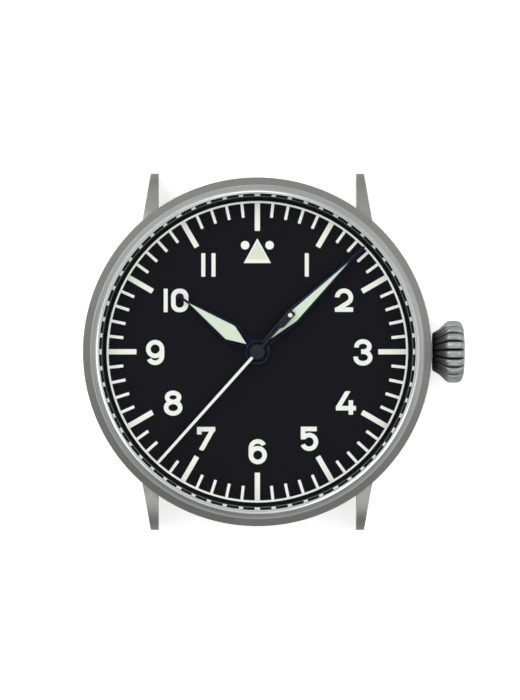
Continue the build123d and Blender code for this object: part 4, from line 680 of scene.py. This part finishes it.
def clearSapphire(name, tints, least=0.001, most=0.22):
    # coated crystal: clear head on, with a sheen towards its edges
    paint = Paint(name)
    film = paint.noise(paint.place(), 0.4, 2.0)
    facing = paint.add("ShaderNodeLayerWeight", None, {"Blend": 0.5}, "Facing")
    share = least + facing ** 5.0 * most
    values = {"Base Color": paint.blend(film, *tints), "Metallic": 1.0, "Roughness": 0.03 + film * 0.02}
    mirror = paint.add("ShaderNodeBsdfPrincipled", None, values)
    through = paint.add("ShaderNodeBsdfTransparent", None, {"Color": (0.985, 0.99, 0.99)})
    return paint.output(paint.mix(share, through, mirror))


def rubyStone(name, dark, light):
    # polished stone, deeper in colour in places
    paint = Paint(name)
    depth = paint.noise(paint.place(), 2.0, 2.0)
    values = {"Base Color": paint.blend(depth, dark, light), "Roughness": 0.06 + depth * 0.06}
    values.update({"Specular IOR Level": 0.8, "Coat Weight": 0.6})
    return paint.finish(values)


colours = {
    "case": tone(150, 150, 148),
    # the chamfer's colour is lighter than the bezel's as a painted highlight
    "bezel": tone(188, 189, 189), "chamfer": tone(206, 207, 208),
    "crown": tone(164, 166, 165),
    # the flange's second, lighter tone is a painted reflection, drawn as one fine line
    "flange": tone(12, 12, 15), "flangeReflection": tone(112, 112, 114),
    "dial": tone(20, 19, 24),
    # the track's white is lighter than the print's: painted light that makes up for the inner ring's shade
    # on the dial's edge
    "print": tone(234, 235, 226), "track": tone(249, 249, 242),
    "dialLume": tone(237, 241, 227), "markLume": tone(216, 221, 196), "markBorder": tone(238, 240, 232),
    "handLume": tone(210, 221, 200),
    # the lighter blues of the hands and of the screws are painted glints for their bevels
    "blued": tone(25, 28, 40), "bluedGlint": tone(62, 88, 118),
    "screw": tone(52, 64, 112), "screwGlint": tone(110, 126, 176),
    "blackEnamel": tone(19, 19, 22), "whiteEnamel": tone(232, 232, 229),
    "rubber": tone(30, 30, 32), "glassSeal": tone(208, 209, 208),
    "sapphire": ((0.90, 0.94, 0.98), (0.96, 0.97, 1.0)),
    "ruby": (tone(150, 12, 44), tone(214, 40, 84)),
    "rhodium": tone(196, 197, 199), "ring": tone(180, 181, 184), "gilt": tone(205, 170, 108),
    "polished": tone(190, 192, 196), "spring": tone(140, 146, 158),
}

finishes = {
    "case": blastedSteel("caseBlasted", colours["case"]),
    "bezel": bezelSteel("bezelGround", colours["bezel"], colours["chamfer"]),
    "crown": crownSteel("crownSatin", colours["crown"]),
    "tube": plainMetal("tubeSteel", colours["crown"], 0.28),
    "back": turnedSteel("backTurned", colours["case"], 0.32, 10.0),
    "rehaut": flangeLacquer("flangeLacquer", colours["flange"], colours["flangeReflection"]),
    "dial": dialPaint("dialLacquer", colours["dial"]),
    "print": printPaint("dialPrint", colours["print"]),
    # painted light: the track's print is brightened against the inner ring's shade
    "track": printPaint("trackPrintBrightened", colours["track"]),
    "lume": lumePaint("dialLume", colours["dialLume"]),
    "markLume": markPaint("markLume", colours["markLume"], colours["markBorder"]),
    "handLume": lumePaint("handLume", colours["handLume"], 20.0),
    "blued": bluedSteel("bluedHands", colours["blued"], colours["bluedGlint"]),
    "screwBlue": bluedSteel("bluedScrews", colours["screw"], colours["screwGlint"]),
    "blackEnamel": enamel("blackEnamel", colours["blackEnamel"], 0.6),
    "whiteEnamel": enamel("whiteEnamel", colours["whiteEnamel"], under=colours["blackEnamel"]),
    "rubber": rubber("gasketRubber", colours["rubber"]),
    "glassSeal": rubber("glassSeal", colours["glassSeal"]),
    "sapphire": clearSapphire("sapphire", colours["sapphire"]),
    "backSapphire": clearSapphire("backSapphire", colours["sapphire"], 0.01),
    "striped": stripedPlate("stripedBridges", colours["rhodium"]),
    "pearled": pearledPlate("pearledPlate", colours["rhodium"]),
    "ring": turnedSteel("ringTurned", colours["ring"], 0.3, 8.0),
    "gilt": turnedSteel("giltWheels", colours["gilt"], 0.26, 9.0),
    "giltPlain": plainMetal("giltPlain", colours["gilt"], 0.25),
    "polished": plainMetal("polishedSteel", colours["polished"], 0.16),
    "spring": plainMetal("springAlloy", colours["spring"], 0.3),
    "ruby": rubyStone("rubyJewels", *colours["ruby"]),
}


def circledSteel(node, name, colour):
    # fine circles about the wheel's own middle
    low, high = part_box(node)
    middle = (low + high) / 2 / mm
    return turnedSteel(name, colour, 0.22, 7.0, tuple(middle), 0.002, 0.2)


finishes["ratchet"] = circledSteel("ratchet_wheel", "ratchetCircled", colours["polished"])
finishes["crownWheel"] = circledSteel("crown_wheel", "crownWheelCircled", colours["polished"])
print("finishes made:", len(finishes))

# which nodes each finish goes on
nodeFinishes = {
    "case": ["case_middle"],
    "bezel": ["bezel"],
    "sapphire": ["crystal"],
    "glassSeal": ["crystal_gasket"],
    "rehaut": ["rehaut_ring"],
    "back": ["case_back"],
    "rubber": ["case_back_gasket", "back_glass_gasket", "crown_gasket"],
    "backSapphire": ["back_glass"],
    "ring": ["movement_ring"],
    "polished": ["case_clamps", "cannon_pinion", "setting_wheel", "winding_stem", "winding_pinion",
        "sliding_pinion", "setting_lever", "yoke", "keyless_cover", "click", "barrel_arbor",
        "escape_wheel", "pallet_fork", "hairspring_stud", "pallet_cock"],
    "screwBlue": ["case_clamp_screws", "ratchet_screw", "small_screws", "bridge_screws"],
    "dial": ["dial"],
    "track": ["minute_track"],
    "lume": ["hour_bars"],
    "markLume": ["orientation_mark"],
    "print": ["dial_numerals"],
    "blued": ["hour_hand", "minute_hand"],
    "handLume": ["hour_hand_lume", "minute_hand_lume"],
    "blackEnamel": ["second_hand"],
    "whiteEnamel": ["second_hand_paint"],
    "gilt": ["minute_wheel", "hour_wheel", "centre_wheel", "fourth_wheel"],
    "crown": ["crown"],
    "tube": ["crown_tube"],
    "crownWheel": ["crown_wheel"],
    "ratchet": ["ratchet_wheel"],
    "giltPlain": ["barrel", "third_wheel", "balance_wheel"],
    "spring": ["mainspring", "hairspring"],
    "ruby": ["pallet_stones", "jewels"],
    "pearled": ["main_plate"],
    "striped": ["barrel_bridge", "train_bridge", "balance_cock"],
}


def dress(piece, finish):
    piece.data.materials.clear()
    piece.data.materials.append(finishes[finish])
    return piece


for finish, nodes in nodeFinishes.items():
    for node in nodes:
        dress(frame["nodes"][node], finish)
print("carried-over nodes dressed:", sum(len(nodes) for nodes in nodeFinishes.values()))


# case

caseShape = {"edge": 0.09, "segments": 3}


def makeCase():
    piece = softCopy("caseBody", "case_middle", caseShape["edge"], caseShape["segments"])
    dress(piece, "case")
    settle(piece, "case", ["case_middle"])


def makeBezel():
    shape = bezelShape
    corners = (
        ("ledge", "foot"), ("skirt", "foot"), ("skirt", "seat"), ("radius", "seat"), ("radius", "edge"),
        ("ledge", "top"), ("bore", "lip"), ("bore", "under"), ("ledge", "under"),
    )
    piece = lathe("bezelRing", profileOf(shape, corners), shape["steps"])
    softenEdges(piece, shape["round"], segments=3, angle=shape["sharp"])
    smoothOver(piece, angle=shape["smooth"])
    dress(piece, "bezel")
    settle(piece, "case", ["bezel"])


crystalShape = {
    "radius": 19.07, "back": 9.6, "front": 11.3, "chamfer": 0.25, "dome": 0.12, "rings": 8,
    "steps": 180, "smooth": 25.0,
}


def makeCrystal():
    shape = crystalShape
    inset = shape["radius"] - shape["chamfer"]
    shoulder = shape["front"] - shape["chamfer"] - shape["dome"]
    profile = [(0.0, shape["back"]), (shape["radius"], shape["back"]), (shape["radius"], shoulder)]
    for index in range(shape["rings"] + 1):
        share = 1 - index / shape["rings"]
        profile.append((inset * share, shape["front"] - shape["dome"] * share * share))
    piece = lathe("crystalGlass", profile, shape["steps"], closed=False)
    smoothOver(piece, angle=shape["smooth"])
    dress(piece, "sapphire")
    settle(piece, "case", ["crystal"])


def makeRehaut():
    # the sloping inner ring between dial and crystal
    shape = rehautShape
    corners = (("foot", "seat"), ("outer", "seat"), ("outer", "top"), ("lip", "top"), ("lip", "turn"))
    piece = lathe("rehautRing", profileOf(shape, corners), shape["steps"])
    softenEdges(piece, shape["round"], segments=2, angle=shape["sharp"])
    smoothOver(piece, angle=shape["smooth"])
    dress(piece, "rehaut")
    settle(piece, "case", ["rehaut_ring"])


def makeRehautMarks():
    # one small pale mark on the slope for each minute, broader at the hours
    shape = rehautShape
    slope = (shape["turn"] - shape["seat"]) / (shape["lip"] - shape["foot"])
    inner = (shape["markStart"], shape["seat"] + (shape["markStart"] - shape["foot"]) * slope)
    outer = (shape["markEnd"], shape["seat"] + (shape["markEnd"] - shape["foot"]) * slope)
    middle = ((inner[0] + outer[0]) / 2, (inner[1] + outer[1]) / 2)
    length = math.hypot(outer[0] - inner[0], outer[1] - inner[1])
    marks = []
    for width in (shape["hourWidth"], shape["markWidth"]):
        leaveEdit()
        bpy.ops.mesh.primitive_cube_add(size=mm)
        mark = named("flangeMark")
        editAll(mark)
        bpy.ops.transform.resize(value=(length, width, shape["markDepth"]), center_override=(0, 0, 0))
        leaveEdit()
        softenEdges(mark, shape["markRound"], segments=1)
        editAll(mark)
        bpy.ops.transform.rotate(value=math.atan(slope), orient_axis="Y", center_override=(0, 0, 0))
        bpy.ops.transform.translate(value=(middle[0] * mm, 0, middle[1] * mm))
        leaveEdit()
        marks.append(mark)
    hour, minute = marks
    copies = []
    for index in range(shape["marks"]):
        source = minute if index % shape["hourEvery"] else hour
        copies.append(copyTo(source, turn=360 / shape["marks"] * index))
    for mark in marks:
        bpy.data.objects.remove(mark)
    piece = joinAs("rehautMarks", copies)
    dress(piece, "track")
    settle(piece, "case")


# crown

def makeCrown():
    shape = crownShape
    count = shape["flutes"] * shape["split"]
    pivot = (0, 0, shape["height"] * mm)
    profile = [(0.0, shape["hollow"])] + [(radius, along) for radius, along, depth in shape["profile"]]
    piece = lathe("crownHead", profile, count, "X", shape["height"], closed=False)
    editAll(piece)
    bpy.ops.transform.rotate(value=math.radians(shape["lead"]), orient_axis="X", center_override=pivot)

    def phase(place):
        angle = math.degrees(math.atan2(place.y, place.z - shape["height"])) - shape["lead"]
        return round(angle * count / 360) % shape["split"]

    for radius, along, depth in shape["profile"]:
        if not depth:
            continue
        for share in sorted(set(shape["waves"])):
            if not share:
                continue
            phases = [index for index, wave in enumerate(shape["waves"]) if wave == share]

            def onRing(place):
                reach = math.hypot(place.y, place.z - shape["height"])
                off = max(abs(place.x - along), abs(reach - radius))
                return off < shape["near"] and phase(place) in phases

            if pickVertices(piece, onRing):
                factor = (radius - depth * share) / radius
                bpy.ops.transform.resize(value=(1, factor, factor), center_override=pivot)
    leaveEdit()
    smoothOver(piece, angle=shape["smooth"])
    dress(piece, "crown")
    settle(piece, "crown", ["crown"])


# copies of carried-over nodes with broken edges

# name, node, body, slot, finish, and the width of the broken edges
markPieces = (
    ("hourBars", "hour_bars", "case", "dial_lume", "lume", 0.05),
    ("orientationMark", "orientation_mark", "case", "dial_lume", "markLume", 0.05),
)
handPieces = (
    ("hourHand", "hour_hand", "hour_hand", "blued_steel", "blued", 0.06),
    ("hourLume", "hour_hand_lume", "hour_hand", "hand_lume", "handLume", 0.04),
    ("minuteHand", "minute_hand", "minute_hand", "blued_steel", "blued", 0.06),
    ("minuteLume", "minute_hand_lume", "minute_hand", "hand_lume", "handLume", 0.04),
    ("secondHand", "second_hand", "second_hand", "black_enamel", "blackEnamel", 0.03),
)
backPieces = (
    ("barrelBridge", "barrel_bridge", "case", "rhodium_plate", "striped", 0.12),
    ("trainBridge", "train_bridge", "case", "rhodium_plate", "striped", 0.12),
    ("balanceCock", "balance_cock", "case", "rhodium_plate", "striped", 0.12),
    ("caseBackRing", "case_back", "case", "case_steel", "back", 0.07),
    ("bridgeScrews", "bridge_screws", "case", "blued_steel", "screwBlue", 0.05),
)


def makeCopies(rows, segments=2, angle=28.0):
    for name, node, body, slot, finish, width in rows:
        piece = dress(softCopy(name, node, width, segments, angle), finish)
        settle(piece, body, [node])


# gilt settings round the jewels of the bridges, at the wheels' centres
settingShape = {
    "inner": 0.5, "outer": 0.705, "face": 2.115, "depth": 0.1, "round": 0.03, "steps": 40,
    "smooth": 40.0,
    "joints": ("minute_hand_turn", "third_wheel_turn", "escape_wheel_turn", "balance_swing"),
}


def makeSettings():
    shape = settingShape
    inner, outer, face, corner = shape["inner"], shape["outer"], shape["face"], shape["round"]
    seat = face + shape["depth"]
    profile = [(inner, seat), (inner, face + corner), (inner + corner, face)]
    profile += [(outer - corner, face), (outer, face + corner), (outer, seat)]
    first = lathe("jewelSettings", profile, shape["steps"])
    copies = []
    for joint in shape["joints"]:
        x, y = pivots[joint][:2]
        copies.append(copyTo(first, place=(x, y, 0)))
    bpy.data.objects.remove(first)
    piece = joinAs("jewelSettings", copies)
    smoothOver(piece, angle=shape["smooth"])
    dress(piece, "giltPlain")
    settle(piece, "case")


makeCase()
print("case made")
makeBezel()
makeRehaut()
makeRehautMarks()
makeCrystal()
print("bezel, inner ring and crystal made")
makeCrown()
print("crown made")
makeCopies(markPieces, segments=3)
makeCopies(handPieces)
print("dial and hands made")
makeCopies(backPieces, angle=40.0)
makeSettings()
print("movement made")


# floor, light and camera

# the floor's size in metres and its drop below the watch in millimetres; the picture's height in pixels,
# its scale in millimetres for each, and the height of the dial and the offset of its middle in millimetres
stageValues = {
    "floorSize": 1.6, "floorDrop": 0.05, "floorTone": 0.94, "floorSpread": 0.01, "veil": 0.45,
    "height": 700, "scale": 0.1207, "lens": 300.0, "sensor": 36.0, "dial": 8.0, "offset": (0.32, 0.215),
    "nearest": 0.01, "farthest": 10.0,
}


def makeFloor():
    # the camera sees a lit floor from above; for other rays the world's pale lower half stands in for it
    values = stageValues
    leaveEdit()
    bpy.ops.mesh.primitive_plane_add(size=values["floorSize"], location=(0, 0, -values["floorDrop"] * mm))
    floor = named("floor")
    paint = Paint("paleFloor")
    grain = paint.noise(paint.place(), 0.02, 2.0)
    middle, spread = values["floorTone"], values["floorSpread"]
    colour = paint.blend(grain, (middle - spread,) * 3, (middle + spread,) * 3)
    lit = paint.add("ShaderNodeBsdfDiffuse", None, {"Color": colour})
    veil = paint.add("ShaderNodeEmission", None, {"Color": (1.0, 1.0, 1.0), "Strength": values["veil"]})
    seen = paint.add("ShaderNodeAddShader", None, {0: lit, 1: veil})
    through = paint.add("ShaderNodeBsdfTransparent")
    below = paint.add("ShaderNodeNewGeometry", output="Backfacing")
    share = paint.rays(["Is Camera Ray"]) * (1 - below)
    floor.data.materials.append(paint.output(paint.mix(share, through, seen)))


# the room's brightness from straight up (0) to straight down (1); how much brighter it is towards twelve
# o'clock, there near the horizon too, towards the crown and at both sides; and where the horizon fades
roomValues = {
    "light": (
        (0.0, 0.60), (0.12, 0.70), (0.24, 0.90), (0.36, 0.76), (0.47, 0.40), (0.54, 0.46), (0.66, 0.84),
        (1.0, 0.92),
    ),
    "twelve": 0.10, "horizon": 0.45, "crown": 0.08, "sides": 0.22,
    "above": (0.34, 0.46), "below": (0.5, 0.6),
}


def makeWorld():
    paint = Paint("softWorld", True)
    bpy.context.scene.world = paint.owner
    values = roomValues
    x, y, z = paint.axes(paint.add("ShaderNodeTexCoord", output="Generated"))
    fall = paint.maths("ARCCOSINE", z) / math.pi
    stops = [(place, (level,) * 3) for place, level in values["light"]]
    room = paint.add("ShaderNodeValToRGB", {"stops": stops}, {"Fac": fall})
    low = fall.between(*values["above"]) * (1 - fall.between(*values["below"]))
    turn = y * (values["twelve"] + low * values["horizon"]) + x * values["crown"] + x * x * values["sides"]
    level = room * (1 + turn)
    grey = paint.vector(level, level, level)
    lit = paint.add("ShaderNodeBackground", None, {"Color": grey, "Strength": 1.0})
    seen = paint.add("ShaderNodeBackground", None, {"Color": (1.0, 1.0, 1.0), "Strength": 1.0})
    paint.output(paint.mix(paint.rays(["Is Camera Ray", "Is Transmission Ray"]), lit, seen))


# name, place in metres, size and power
lamps = (
    ("keySoftbox", (-0.28, 0.30, 0.42), 0.34, 1.0),
    ("fillSoftbox", (0.36, 0.10, 0.34), 0.30, 0.45),
    ("rimSoftbox", (0.02, -0.42, 0.30), 0.26, 0.3),
    ("lowSoftbox", (-0.20, 0.16, -0.40), 0.30, 0.4),
)


def makeLamps():
    for name, place, size, power in lamps:
        leaveEdit()
        bpy.ops.object.light_add(type="AREA", location=place)
        lamp = bpy.context.object
        lamp.name = name
        lamp.data.shape = "SQUARE"
        lamp.data.size = size
        lamp.data.energy = power
        lamp.rotation_mode = "QUATERNION"
        lamp.rotation_quaternion = Vector(place).to_track_quat("Z", "Y")


def makeCamera():
    leaveEdit()
    values = stageValues
    distance = values["height"] * values["scale"] * values["lens"] / values["sensor"] + values["dial"]
    x, y = values["offset"]
    bpy.ops.object.camera_add(location=(x * mm, y * mm, distance * mm), rotation=(0, 0, 0))
    camera = bpy.context.object
    camera.data.sensor_width = values["sensor"]
    camera.data.lens = values["lens"]
    camera.data.clip_start = values["nearest"]
    camera.data.clip_end = values["farthest"]
    bpy.context.scene.camera = camera


makeFloor()
makeWorld()
makeLamps()
makeCamera()
bpy.context.scene.view_settings.view_transform = "Standard"
print("stage set")
